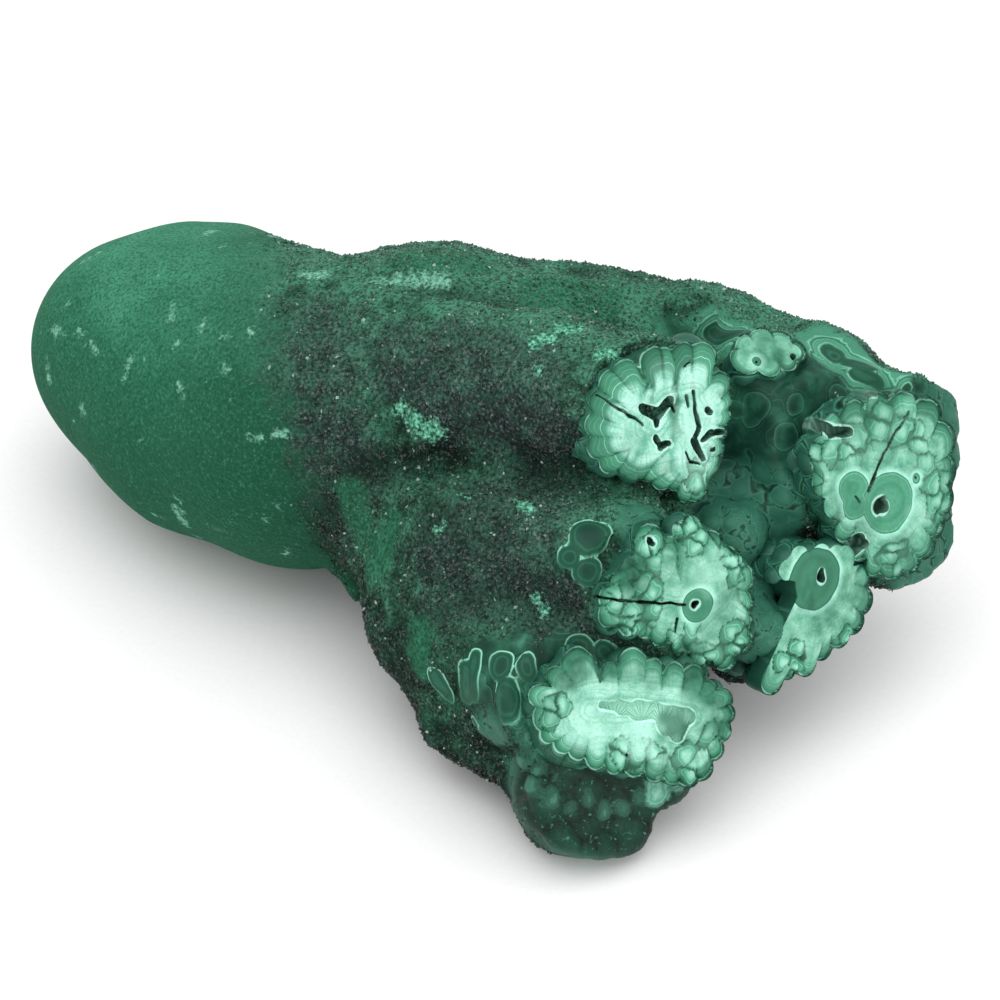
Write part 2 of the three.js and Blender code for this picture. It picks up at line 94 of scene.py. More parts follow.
# Fingers. at, facing: middle of the broken face and the way it faces. root: [x, y, z, radius] that it
# grows from. collar: how far behind the face the crust stops. In the face, across and up are measured
# from its middle: cores: round cores [across, up, radius]. lobes: growth lobes [across, up, radius],
# then the growth rate where it isn't 1 and the point where the lobe began. slots: openings
# [across, up, across, up, width, depth]. discs: first growth round a tube [across, up, radius].
# heart, heart_size: where growth began and how far it went before it split into lobes. rind: thickness
# of the darker outer growth. frill: depth of the scallops. rough: roughness of the break. pit: how pale
# the openings are inside; where it is low, their walls get painted shade. pale, disc_light: how light the
# middle and the discs are. blobs: places broken into small rosettes [across, up, radius], of blob_size.
# shades: paler or darker places [across, up, radius, amount].
FINGERS = {
    "upper": dict(
        at=(21.0, -7.5, 46.0), facing=(0.5, -0.76, 0.41), root=(-5.0, 10.0, 40.5, 11.5), collar=0.8,
        cores=[(0, 2.2, 8.2), (3.6, -5, 5.4)],
        lobes=[(-8.1, 6.1, 1.7, 1, -2.3, -0.9), (-9.4, 3.5, 1.7, 1, -2.3, -0.9),
               (-9.7, 0.6, 1.8, 1, -2.3, -0.9), (-8.5, -1.9, 1.8, 1, -2.3, -0.9),
               (-6.3, -3.6, 1.5, 1, -2.3, -0.9), (-6.0, 7.8, 1.8, 1, -2.1, 2.8),
               (-3.6, 8.0, 2.2, 1, -2.1, 2.8), (-1.7, 6.8, 1.7, 1, -2.1, 2.8), (1.1, 8.4, 1.9, 1, 1.6, 3.1),
               (2.7, 7.9, 1.7, 0.9, 1.6, 3.1), (5.5, 7.2, 2.1, 0.8, 5.4, 2.5),
               (8.1, 6.1, 2.3, 0.8, 5.4, 2.5), (10.0, 1.9, 1.7, 0.5, 5.1, -1.3),
               (10.1, -0.3, 1.3, 0.45, 5.1, -1.3), (9.3, -2.5, 1.3, 0.45, 5.1, -1.3),
               (8.4, -4.2, 1.2, 0.45, 5.1, -1.3), (6.9, -5.8, 1.8, 0.45, 3.7, -5.6),
               (4.8, -8.2, 1.7, 0.45, 3.7, -5.6), (3.0, -10.3, 1.7, 0.45, 3.7, -5.6),
               (1.4, -10.3, 1.3, 0.45, 3.7, -5.6), (0.4, -7.9, 1.6, 0.45, 3.7, -5.6),
               (-1.6, -6.9, 1.7, 0.6, 3.7, -5.6), (-3.4, -5.3, 1.5, 0.7, 3.7, -5.6)],
        slots=[(-0.6, 1.7, -2.2, 3.0, 1.7, 4), (-0.4, 1.6, 1.9, 2.5, 1.8, 4), (1.9, 2.5, 2.3, 0.9, 0.7, 2),
               (-0.5, 1.6, -0.7, 0.2, 1.4, 3), (-1.4, -1.5, -1.0, -2.8, 0.9, 2),
               (-1.0, -2.8, 0.5, -2.9, 1.1, 3), (5.2, -2.4, 5.4, 2.4, 0.7, 5),
               (5.2, -2.4, 4.3, -3.8, 0.9, 4), (4.3, -3.8, 4.8, -6.6, 1.2, 3),
               (4.4, 2.3, 4.3, 0.7, 0.35, 2), (7.2, -0.9, 7.4, -1.1, 1.1, 3),
               (6.8, -3.7, 5.6, -4.2, 1.2, 3), (6.8, -3.7, 8.8, -4.5, 1.1, 3),
               (2.6, -4.8, 3.0, -6.4, 0.35, 2), (3.0, -6.4, 4.1, -7.2, 0.5, 2),
               (-2.9, 1.0, -8.2, 7.0, 0.42, 2.5), (6.9, -6.0, 6.4, -5.9, 0.6, 1),
               (5.0, 6.2, 6.6, 6.4, 0.35, 1)],
        discs=[],
        heart=[(-1.6, 0.5), (1.4, 2.2), (5.0, 1.6), (4.5, -3.8), (3.8, -6.4)],
        heart_size=1.4, rind=4.3, frill=0.12, rough=0.14, pit=0.3, pale=1.0, disc_light=0.5,
        blobs=[(3.0, -8.4, 2.6)], blob_size=2.2,
        shades=[(-5.4, -0.9, 3.2, -0.15), (5.0, -1.5, 4.5, 0.45), (4.3, -6.0, 4.0, 0.3),
                (-1.3, -5.9, 2.4, -0.3), (9.9, 1.0, 1.3, -0.5), (1.5, 6.5, 2.5, 0.1)],
    ),
    "middle": dict(
        at=(25.5, -22.5, 28.0), facing=(0.46, -0.77, 0.44), root=(-2.5, -8.0, 29.0, 10.5), collar=1.5,
        cores=[(-6.6, 5.2, 5.2), (0, 4.2, 6), (2.2, -2.4, 5.2)],
        lobes=[(-12.2, 3.4, 1.9), (-9.8, 6.9, 1.5), (-7.2, 7.0, 1.4), (-4.5, 10.7, 2.3), (-2.1, 8.6, 1.8),
               (1.5, 10.1, 1.8), (4.2, 7.3, 1.7), (6.1, 4.2, 1.8), (7.2, 1.0, 2.2), (6.7, -2.2, 1.8),
               (6.2, -5.0, 1.6), (5.5, -7.1, 1.8), (2.5, -8.5, 1.7), (-0.7, -6.7, 1.7), (-3.2, -4.4, 1.5),
               (-5.7, -2.0, 1.7), (-7.7, -0.4, 1.4), (-9.9, 1.1, 1.7), (-11.7, 5.5, 1.8)],
        slots=[(-0.1, 0.2, 0.1, 0.2, 1.3, 7), (-4.5, 10.7, -4.3, 10.4, 1.0, 1.5),
               (-13.7, 6.2, -8.0, 3.4, 0.35, 2), (-8.0, 3.4, -1.6, 0.8, 0.45, 3)],
        discs=[(0.2, 0.0, 2.2)], heart=[(-6.5, 3.2), (-0.1, 0.2), (2.8, 1.5)], heart_size=2.6, rind=2.3,
        frill=0.2, rough=0.25, pit=0.1, pale=0.4, disc_light=0.5, blob_size=2.4,
        blobs=[(-7.5, 5.5, 4.5), (-4.0, 9.5, 2.6), (-1.0, 10.5, 2.8), (-8.5, 1.5, 3.0), (3.0, 8.5, 2.4),
               (-2.5, -4.5, 2.5), (5.5, -6.5, 3.0), (6.5, 2.5, 2.2), (1.0, -7.5, 2.4)],
        shades=[(-8.5, 8.0, 4.0, -0.7), (-7.1, 7.0, 3.5, -0.30), (-1.2, 6.2, 3.5, -0.25),
                (2.0, -2.7, 4.0, -0.40), (5.8, 0.1, 3.5, -0.35), (2.5, 3.5, 3.5, 0.25),
                (-1.5, -5.5, 2.0, -0.6), (-11.0, 2.0, 3.0, -0.3)],
    ),
    "lowest": dict(
        at=(18.5, -34.0, 18.0), facing=(0.36, -0.74, 0.56), root=(-1.0, -17.0, 17.0, 12.5), collar=2.5,
        cores=[(-8.6, 3, 6.2), (0, 2.4, 6.6), (5.8, -2, 6), (8.2, -2, 3.4)],
        lobes=[(-12.6, 5.0, 1.9), (-12.7, 2.7, 1.3), (-11.2, 0.8, 1.3), (-9.4, -0.7, 1.3),
               (-7.3, -2.4, 1.5), (-5.0, -3.9, 1.4), (-2.5, -5.1, 1.4), (0.1, -6.5, 1.5), (2.5, -7.7, 1.5),
               (-10.0, 9.7, 1.3), (-6.6, 10.2, 2.3, 1.1), (-2.5, 8.0, 1.3), (0.7, 8.1, 2.0, 1.1),
               (3.3, 6.5, 1.4), (6.1, 5.1, 1.4), (8.6, 3.8, 1.5), (10.0, 1.4, 1.4), (11.3, -0.5, 1.7),
               (11.5, -2.3, 1.4), (10.2, -4.2, 1.6), (8.6, -6.2, 1.6), (6.3, -8.0, 1.8), (4.4, -8.6, 1.5),
               (-12.8, 7.9, 1.5)],
        slots=[(-2.6, 3.1, -4.9, 4.0, 1.3, 1.3), (-2.6, 3.1, -0.3, 2.0, 1.8, 1.3),
               (-0.3, 2.0, 5.6, -0.6, 2.6, 1.3), (3.4, -0.8, 5.9, -1.0, 3.4, 1.3),
               (4.8, -1.6, 4.2, -2.8, 2.6, 1.3)],
        discs=[], heart=[(-6.5, 4.0), (0.0, 2.2), (6.2, -1.0)], heart_size=3.4, rind=2.2, frill=0.2,
        rough=0.14, pit=1.0, pale=0.7, disc_light=0.5, blob_size=2.6,
        blobs=[(-3.5, -3.8, 2.6), (2.8, -6.6, 2.8), (-11.5, 5.5, 2.2), (9.8, -4.0, 2.4), (-0.2, -3.4, 1.6)],
        shades=[(-7.0, 2.0, 4.5, 0.35), (-7.4, 9.4, 3.5, -0.45), (-0.7, 7.8, 3.5, -0.40),
                (8.6, 1.9, 3.0, -0.35), (-1.0, -1.5, 4.0, 0.55), (9.0, -4.0, 3.5, -0.25),
                (2.0, -7.0, 3.0, -0.2), (9.5, 2.5, 4.5, -0.6), (-12.0, 6.0, 2.5, -0.4),
                (11.0, -2.0, 4.0, -0.45), (4.6, -1.6, 3.2, -0.75), (4.0, 6.8, 4.0, -0.5),
                (-2.5, 8.5, 3.0, -0.5), (-8.0, 9.5, 3.5, -0.4)],
    ),
    "lower_right": dict(
        at=(42.0, -13.5, 25.0), facing=(0.55, -0.74, 0.38), root=(21.0, 1.0, 24.0, 9.5), collar=7.0,
        cores=[(0.4, -0.4, 4.6), (3.4, -5.4, 4.4), (-3.4, -7.6, 3.6)],
        lobes=[(-6.5, -6.3, 1.8), (-8.2, -8.2, 1.4), (-7.6, -10.6, 1.2), (-4.6, -11.1, 1.6),
               (-10.5, -10.8, 1.8), (-1.5, -10.0, 1.7), (1.7, -9.6, 1.7), (4.4, -8.6, 1.9),
               (6.3, -6.4, 2.1), (6.7, -3.4, 2.1), (4.8, 0.5, 1.9), (1.3, 2.6, 1.6), (-2.2, 3.8, 1.6),
               (-4.5, 3.1, 1.3)],
        slots=[(0.6, -0.6, 0.8, 0.4, 1.2, 7)], discs=[(-0.6, 0.0, 4.2)], heart=[(-0.3, -0.2), (1.2, -1.4)],
        heart_size=3.6, rind=2.4, frill=0.15, rough=0.12, pit=0.1, pale=0.25, disc_light=0.15,
        blobs=[(-6.5, -8.5, 2.4), (2.0, -9.6, 2.4)], blob_size=2.4,
        shades=[(-2.5, -7.5, 4.0, 0.1), (-0.4, -6.2, 4.0, -0.35), (0.3, 0.2, 3.5, -0.35),
                (5.9, -6.0, 3.0, -0.30), (-2.6, -2.2, 2.4, -0.6), (0.0, 1.5, 3.8, -0.2),
                (5.5, -3.5, 3.5, -0.3)],
    ),
    "right": dict(
        at=(51.0, -4.5, 30.0), facing=(0.52, -0.74, 0.42), root=(26.0, 13.0, 33.0, 10.5), collar=5.0,
        cores=[(-1.2, 9, 6), (5.6, 7.4, 6.4), (7.4, 0.4, 5.8), (0, 1, 6.4), (1.6, -5.6, 4.2)],
        lobes=[(-7.4, 10.5, 2.1), (-7.7, 6.6, 2.4), (-7.0, 2.8, 2.1), (-6.4, -1.1, 1.9), (-4.9, -4.6, 1.7),
               (-2.9, -7.8, 1.7), (-0.3, -9.2, 1.9), (2.7, -9.3, 1.9), (5.4, -8.3, 2.0), (7.5, -6.0, 2.2),
               (9.6, -3.2, 2.4), (10.7, 0.4, 2.7, 1.1), (11.3, 4.5, 3.0, 1.1), (10.2, 8.5, 2.7, 1.1),
               (6.8, 11.2, 2.4), (2.9, 12.8, 2.1), (-1.1, 13.4, 2.0), (-4.8, 12.9, 2.0)],
        slots=[(-0.1, -0.3, 0.1, -0.5, 2.8, 7), (-4.9, -3.6, -6.2, -4.4, 2.4, 3),
               (-4.9, -3.6, -3.9, -4.2, 1.6, 2), (-5.2, 12.5, -7.2, 14.6, 1.6, 3),
               (-5.2, 12.5, -2.6, 11.5, 1.7, 2.5), (-1.5, 2.7, 0.9, 5.4, 0.6, 3),
               (0.9, 5.4, 7.3, 10.5, 0.5, 2), (-3.6, 1.6, -4.0, 2.6, 0.4, 1.5),
               (2.1, 15.0, 3.0, 14.6, 0.9, 2), (6.3, 1.3, 6.4, 1.2, 0.45, 1)],
        discs=[(1.0, -0.2, 4.1), (-3.9, 3.9, 2.3), (-4.2, 1.6, 2.0), (6.3, 1.3, 0.7)],
        heart=[(-3.4, 3.0), (0.2, 0.2), (4.5, 2.5)], heart_size=3.6, rind=2.6, frill=0.2, rough=0.25,
        pit=0.3, pale=0.3, disc_light=1.0,
        blobs=[(-5.5, 10.5, 4.0), (0.5, 10.5, 4.0), (5.0, 8.5, 4.0), (8.0, 5.0, 2.4), (8.5, -2.5, 3.0),
               (2.5, -8.0, 3.0)],
        blob_size=3.2,
        shades=[(-2.0, 12.0, 4.0, -0.3), (-3.5, -1.5, 4.0, -0.40), (-5.8, 3.0, 3.0, -0.30),
                (3.5, 12.5, 4.0, -0.3), (1.5, -8.0, 3.5, -0.35), (5.4, -3.5, 2.2, 0.2)],
    ),
    "top": dict(
        at=(35.5, 5.5, 47.3), facing=(0.3, -0.38, 0.87), root=(31.0, 13.0, 37.0, 6.0), collar=1.0,
        cores=[(-1.4, 0.8, 2.6), (2.2, -1.0, 2.6)],
        lobes=[(-3.2, 1.0, 2.2), (-1.4, 2.0, 2.3), (0.8, 1.9, 2.3), (2.8, 0.6, 2.1), (4.3, -1.0, 1.5),
               (-0.6, -0.8, 2.0), (2.2, -1.6, 1.6)],
        slots=[(3.2, -1.6, 3.4, -1.7, 0.8, 3), (-2.0, 0.1, -1.9, 0.1, 0.35, 1)], discs=[(-2.0, 0.1, 0.6)],
        heart=[(-2.0, 0.8), (2.6, -1.0)], heart_size=2.3, rind=0.9, frill=0.03, rough=0.06, pit=0.1,
        pale=0.1, disc_light=0.4, blobs=[], blob_size=2.0,
        shades=[(0.5, 0.2, 4.5, -0.4), (1.3, -0.3, 1.6, -0.5)],
    ),
}
# Marks on the crust: bars [x, y, z] to [x, y, z] and the radius they reach.
SCRATCHES = [
    ((-52, 18, 34), (-45, 20, 41.5), 0.7), ((-61.5, 33.5, 35.5), (-56, 35, 39.5), 0.6),
    ((-51.5, 28.5, 40.5), (-48, 28, 42), 0.7), ((-60, 29, 34), (-59.5, 28, 34), 1.0),
    ((-58, 26, 34), (-57.5, 26, 34), 1.1), ((-59.5, 21.5, 26), (-59.5, 21.5, 25), 1.2),
    ((-45.5, 10, 16.5), (-44.5, 11, 12.5), 1.1), ((-38, 3.5, 19.5), (-37.5, 3.5, 19), 0.7),
    ((-60, 39.5, 37.5), (-59, 39.5, 38), 0.8), ((-65, 30.5, 28), (-64.5, 29, 25), 0.8),
    ((-26.5, 24, 48), (-24.5, 24, 48), 1.6), ((-17.5, 20.5, 50), (-7, 17.5, 51), 1.5),
]
CHIPS = [
    ((4.5, 0, 54), (6.5, 1, 54.5), 1.3), ((7.5, 2.5, 55), (10, 2, 55), 1.4),
    ((4, -4, 53), (5, -4.5, 52.5), 1.0), ((12.5, -5, 56), (15, -5.5, 55.5), 1.4),
    ((-13.5, 1, 41.5), (-9, -2, 39.5), 1.5), ((-9, -1, 41), (-7.5, -2.5, 40), 1.0),
    ((2.5, -12, 40.5), (3.5, -14.5, 38.5), 1.5), ((-4.5, -12.5, 38.5), (-4, -12.7, 38.2), 0.9),
    ((-8, -14.5, 35), (-8.2, -14.7, 34.5), 0.9), ((4.2, -24, 30.5), (5.6, -25, 29.5), 1.1),
    ((7.5, -41.5, 13), (8, -41.5, 12), 1.0), ((10, -42, 11.5), (11, -42, 10), 1.1),
    ((17, -39.5, 10.5), (17.5, -39.5, 9.5), 1.2), ((22.5, -37.5, 10), (23.5, -37, 9), 1.5),
    ((5, -38, 14.5), (5.5, -39, 13), 1.0),
]
VELVET = [
    ((-12, 24, 50.5), (-4, 23, 50.5), 3.5), ((6, 17.5, 49), (13, 17, 49), 4.0),
    ((2.5, 12, 51.5), (3, 12, 51.5), 3.0), ((-15.5, -8, 30), (-16.5, -10.5, 25), 2.4),
    ((-11, -23, 23.5), (-11.5, -25, 19.5), 2.4), ((-20.5, -3, 30), (-19, -6, 25), 3.0),
]
GREY = [
    ((-26, 12, 44), (-23, 0, 32), 8), ((2, -6, 49), (-6, 0, 47), 9), ((3, -14, 38), (-4, -18, 31), 8),
    ((4, -22, 32), (8, -26, 28), 5), ((-14, 6, 46), (-8, 2, 44), 5),
]
# Lobes ground flush with the crust: [x, y, z], [x, y, z], radius, brightness of the outline.
WINDOWS = [
    ((44, 10.5, 45.5), (45, 10, 45), 1.7, 0.6), ((47.8, 6.8, 44), (51, 6.5, 42), 1.5, 0.6),
    ((43, 8.2, 46), (46.5, 6.8, 44.8), 0.8, 0.4), ((54.7, 7.5, 40.3), (54.9, 7.6, 40.3), 0.9, 0.5),
    ((29.3, 11.3, 47), (30.2, 11, 47.3), 0.7, 0.9), ((28, 11.3, 47), (32, 10, 47), 1.7, 0.4),
    ((46.5, 9, 44.8), (50, 8.8, 43.8), 1.2, 0.4), ((11.5, -20.3, 39), (11.5, -20.8, 38.7), 2.9, 1.0),
    ((8.5, -23, 37), (8.6, -23, 37), 1.7, 0.8), ((11.0, -24.2, 35.5), (11.6, -24.4, 35.3), 2.0, 0.5),
    ((-3.5, -28.5, 25), (-3.2, -31, 20.5), 1.1, 0.7), ((-0.5, -30.8, 26.3), (-0.3, -31.3, 25.5), 1.9, 0.8),
    ((0.8, -33.5, 24), (1, -35.5, 22), 1.6, 0.6), ((3.5, -31.5, 26.5), (3.6, -32, 25.5), 1.5, 0.7),
    ((-5, -29.3, 23), (-5.2, -31, 19.5), 1.5, 0.5), ((-8.7, -27, 19.5), (-7.5, -29.5, 17), 1.3, 0.6),
    ((-3.5, -32.5, 16.5), (-3.5, -33, 15.8), 1.1, 0.5), ((10, -28.5, 26), (10.2, -28.5, 26), 2.0, 0.5),
    ((13.5, -28, 25), (13.7, -28, 25), 1.7, 0.4),
]
# Places where the skin swells into small glossy lobes.
LUMPY = [
    ((33, -8, 30), (33, -20, 18), 8), ((12, -36, 10), (24, -34, 8), 11), ((0, -33, 17), (3, -34, 20), 3.5),
    ((22, -18, 36), (19, -18, 38), 4), ((59, 8, 35), (60, 5, 27), 4.5), ((60, 1, 20), (55, -3, 18), 4.5),
]
# Small lobes round the lowest finger: [x, y, z], [x, y, z], radius and how pale they are.
HANGING = [
    ((5.0, -38.5, 14.5), (5.0, -39.6, 12.0), 1.2, 0.1), ((7.2, -40.4, 14.0), (7.0, -41.1, 11.8), 1.3, 0.15),
    ((9.2, -40.6, 12.6), (9.1, -41.5, 10.0), 1.1, 0.1),
    ((11.5, -39.8, 13.0), (11.5, -40.6, 10.6), 1.2, 0.1),
    ((13.6, -40.4, 11.0), (13.6, -41.0, 8.6), 1.2, 0.15),
    ((16.0, -39.6, 11.5), (16.1, -40.2, 8.6), 1.4, 0.15),
    ((18.2, -38.0, 12.5), (18.4, -38.9, 9.2), 1.6, 0.15),
    ((20.6, -36.8, 13.0), (20.8, -37.8, 9.2), 2.4, 1.0),
    ((23.0, -35.4, 13.0), (23.2, -36.4, 9.6), 2.2, 1.0),
    ((24.6, -33.8, 14.6), (24.8, -34.6, 11.6), 1.9, 1.0),
    ((2.9, -36.5, 15.5), (2.6, -37.2, 12.8), 1.2, 0.1), ((0.5, -34.6, 23.8), (1.4, -35.6, 21.6), 1.6, 1.0),
    ((3.4, -36.6, 18.6), (3.2, -37.4, 16.0), 1.3, 0.15),
]
# Swollen clumps under the lowest finger, and light banding along the top of the right-hand fingers.
UNDER = [((10, -38, 10), (24, -35, 8), 8)]
STRIP = [((43, 11.5, 45), (52, 7, 41.5), 3.8), ((25, 12.5, 46), (32, 9.5, 47.5), 4.5)]
# Creases where shade is painted into the crust: bars and the radius they reach.
SHADED_CREASES = [
    ((-23, -1, 24), (-20, -0.5, 31), 2.5), ((-20, -0.5, 32), (-13, -2, 35), 2.6),
    ((-13, -2, 35), (-1, -4.5, 36), 2.2), ((-1, -5, 36), (12, -11, 40), 2.0),
    ((-11, 16.5, 51), (5.5, 13.5, 50.5), 1.6), ((5.5, 13.5, 50.5), (15, 4, 54), 1.6),
]
# Wide areas of the crust painted dimmer, as shade at half strength: the front between the two left fingers,
# and the neck.
SHADED_AREAS = [
    ((-5, -23.5, 26.5), (4, -25.5, 28.5), 6), ((-10.5, -21.5, 24.5), (-10.5, -20, 20), 5),
    ((-10.5, -2.5, 34), (-4, -15, 36.5), 5), ((-2.5, -29.5, 25), (3, -31, 26.5), 5),
    ((17, 25, 47), (13, 26, 47), 5),
]
# Places worn smooth, where big lobes show as faint outlines.
POLISHED = [
    ((37, -1, 40), (34, -3, 36), 7.5), ((40, 4, 42), (33, 2, 44), 5), ((43, 8, 46), (56, 6, 38), 3.5),
    ((-2, -30, 24), (6, -31, 26), 4),
]
FLANK = 1.4        # the body's ridges stand this far outside the cores
SKIN_BACK = 0.35   # the skin lies this far inside the limbs' own surfaces, and its grains fill it out
SECTION_DEPTH = 13.0  # length of a finger end that is built lobe by lobe
KNOB_BACK = 2.6    # whole lobes stop this far behind the broken face nearest to them
ROW_PITCH = 1.9    # spacing of the rows of lobes down a finger's flank
BODY_LOW, BODY_HIGH = (-72, -50, -1), (66, 62, 62)  # corners of the space that the body is found in
VELVET_END, CRUST_START = -32, -22  # the stump's velvet turns to crust between these
MARK_COUNT = 90    # small scratches scattered over the velvet
DEEP_SLOT = 0.8    # openings wider than this have a pale lip
SCALLOPS = 2.2     # small scallops on each radian of a growth front
TOP_HOLLOW = 4.0   # radius of the hollow in the crust that the top finger's section looks out of
SPARE = 1e3        # a distance, in mm, larger than any on the stone

# ---- stage ----
FLOOR_HALF = 3.0       # metres
ROOM_LIGHT = 0.84
LIGHTS = [  # name, place (m), side (m), power (W)
    ("key", (-0.05, 0.0, 0.85), 1.0, 4.2), ("fill", (0.45, -0.75, 0.35), 0.5, 1.6),
]
AIM = (0, 0, 27.0)     # what the camera looks at, in layout mm
CAMERA_ELEVATION = 40  # degrees
CAMERA_DISTANCE = 0.4  # metres
LENS, SENSOR = 106.67, 36

# ---- small maths ----


def unit(v):
    v = np.asarray(v, float)
    return v / np.linalg.norm(v)


def smoothstep(low, high, x):
    """0 below low and 1 above high, with an even bend between."""
    t = np.clip((x - low) / (high - low), 0, 1)
    return t * t * (3 - 2 * t)


def bar_distance(points, a, b):
    """Distance to a tapered round bar whose ends are (x, y, z, radius)."""
    start, along = np.array(a[:3]), np.subtract(b[:3], a[:3])
    offset = points - start
    t = np.clip(offset @ along / max(along @ along, 1e-9), 0, 1)
    away = offset - t[:, None] * along
    return np.sqrt(np.einsum("ij,ij->i", away, away)) - (a[3] + t * (b[3] - a[3]))


def soft_min(a, b, softness):
    """The smaller of two distances, with their join rounded over."""
    h = np.maximum(softness - np.abs(a - b), 0) / softness
    return np.minimum(a, b) - h * h * softness / 4


def lattice_noise(points, size, seed):
    """Smooth noise from -1 to 1 whose lumps are about size mm across."""
    table = np.random.RandomState(seed).uniform(-1, 1, (32, 32, 32))
    q = points / size
    cell = np.floor(q).astype(int)
    f = q - cell
    f = f * f * (3 - 2 * f)
    total = np.zeros(len(points))
    for i in (0, 1):
        for j in (0, 1):
            for k in (0, 1):
                w = np.abs(1 - i - f[:, 0]) * np.abs(1 - j - f[:, 1]) * np.abs(1 - k - f[:, 2])
                total += w * table[(cell[:, 0] + i) & 31, (cell[:, 1] + j) & 31, (cell[:, 2] + k) & 31]
    return total


def shaken(points, amount, size, seeds):
    """Points moved about by smooth noise, so that edges measured from them come out uneven."""
    return points + amount * np.stack([lattice_noise(points, size, seed) for seed in seeds], 1)


def pebble_noise(points, size, seed, flat=False):
    """Distances, in cells, to the nearest two scattered points, and where the nearest is."""
    table = np.random.RandomState(seed).uniform(0, 1, (32, 32, 32, 3))
    if flat:
        table[..., 2] = 0
    q = points / size
    cell = np.floor(q).astype(int)
    near = np.full(len(points), 9.0)
    second = np.full(len(points), 9.0)
    middle = np.zeros_like(q)
    for i in (-1, 0, 1):
        for j in (-1, 0, 1):
            for k in (-1, 0, 1):
                c = cell + (i, j, k)
                spot = c + table[c[:, 0] & 31, c[:, 1] & 31, c[:, 2] & 31]
                d = np.linalg.norm(q - spot, axis=1)
                second = np.minimum(second, np.maximum(near, d))
                middle = np.where((d < near)[:, None], spot, middle)
                near = np.minimum(near, d)
    return near, second, middle * size


# ---- surface of a distance field ----


def fill_pinches(inside):
    """Grid points that would let two sheets meet along an edge are made solid."""
    while True:
        filled = 0
        for u, v in ((0, 1), (1, 2), (2, 0)):
            a = np.moveaxis(inside, (u, v), (0, 1))
            p, q, r, s = a[:-1, :-1], a[1:, :-1], a[1:, 1:], a[:-1, 1:]
            near, far = p & r & ~q & ~s, q & s & ~p & ~r
            filled += int(near.sum() + far.sum())
            q[near] = s[near] = True
            p[far] = r[far] = True
        if not filled:
            return


def surface(field, low, high, step, block=4):
    """Vertices and quads of the closed surface round every point where field is negative."""
    low = np.asarray(low, float)
    count = np.ceil((np.asarray(high) - low) / step / block).astype(int)
    centres = (np.stack(np.meshgrid(*[np.arange(n) for n in count], indexing="ij"), -1) + 0.5) * block - 0.5
    rough = field((low + centres.reshape(-1, 3) * step)).reshape(count)
    values = rough.repeat(block, 0).repeat(block, 1).repeat(block, 2).astype(np.float32)
    near = np.argwhere(np.abs(rough) < block * step * 1.3)
    offsets = np.stack(np.meshgrid(*[np.arange(block)] * 3, indexing="ij"), -1).reshape(-1, 3)
    for part in np.array_split(near, max(1, len(near) // 3000)):
        nodes = (part[:, None] * block + offsets).reshape(-1, 3)
        values[tuple(nodes.T)] = field(low + nodes * step)
    inside = values < 0
    fill_pinches(inside)
    values = np.where(inside & (values >= 0), -0.02 * step, values)
    corners = offsets_of_cube()
    total = sum(inside[tuple(slice(c, s - 1 + c) for c, s in zip(corner, inside.shape))].astype(np.uint8)
                for corner in corners)
    cells = np.argwhere((total > 0) & (total < 8))
    corner_values = [values[tuple((cells + c).T)] for c in corners]
    sums, hits = np.zeros((len(cells), 3)), np.zeros(len(cells))
    for i, c in enumerate(corners):
        for axis in range(3):
            if c[axis]:
                continue
            j = i + (1 << axis)
            v0, v1 = corner_values[i], corner_values[j]
            crossing = (v0 < 0) != (v1 < 0)
            t = np.where(crossing, v0 / np.where(crossing, v0 - v1, 1), 0)
            spot = np.array(c, float) + t[:, None] * np.eye(3)[axis]
            sums += spot * crossing[:, None]
            hits += crossing
    vertices = low + (cells + sums / hits[:, None]) * step
    index = np.full(inside.shape, -1, np.int64)
    index[tuple(cells.T)] = np.arange(len(cells))
    quads = []
    for axis in range(3):
        u, v = (axis + 1) % 3, (axis + 2) % 3
        eye = np.eye(3, dtype=int)
        first = inside[tuple(slice(0, -1) if a == axis else slice(None) for a in range(3))]
        last = inside[tuple(slice(1, None) if a == axis else slice(None) for a in range(3))]
        edges = np.argwhere(first != last)
        edges = edges[(edges[:, u] > 0) & (edges[:, v] > 0)]
        ring = [index[tuple((edges - du * eye[u] - dv * eye[v]).T)]
                for du, dv in ((1, 1), (0, 1), (0, 0), (1, 0))]
        ring = np.stack(ring, 1)
        outward = inside[tuple(edges.T)]
        ring[~outward] = ring[~outward][:, ::-1]
        quads.append(ring)
    return vertices, np.concatenate(quads)


def offsets_of_cube():
    """The eight corners of a grid cell."""
    return [(c & 1, (c >> 1) & 1, c >> 2) for c in range(8)]


def settle(vertices, field, step):
    """Moves each vertex on to the surface itself."""
    value = field(vertices)
    slope = np.stack([(field(vertices + d) - value) / step for d in np.eye(3) * step], 1)
    size = np.maximum(np.einsum("ij,ij->i", slope, slope), 0.3)
    move = slope * (value / size)[:, None]
    length = np.linalg.norm(move, axis=1)
    return vertices - move * np.minimum(1, step / np.maximum(length, 1e-9))[:, None]


def normals_of(vertices, quads):
    """The way the surface faces at each vertex."""
    a, b, c, d = (vertices[quads[:, i]] for i in range(4))
    face = np.cross(c - a, d - b)
    total = np.zeros_like(vertices)
    for i in range(4):
        np.add.at(total, quads[:, i], face)
    return total / np.maximum(np.linalg.norm(total, axis=1), 1e-12)[:, None]


# ---- fields of the stone ----


def face_axes(finger):
    """The across, up and outward directions of a broken face."""
    out = unit(finger["facing"])
    across = unit(np.cross((0, 0, 1), out))
    return np.array([across, np.cross(out, across), out])


def in_face(finger, points):
    """Across, up and out-of-face coordinates of layout points."""
    return (points - np.array(finger["at"])) @ face_axes(finger).T


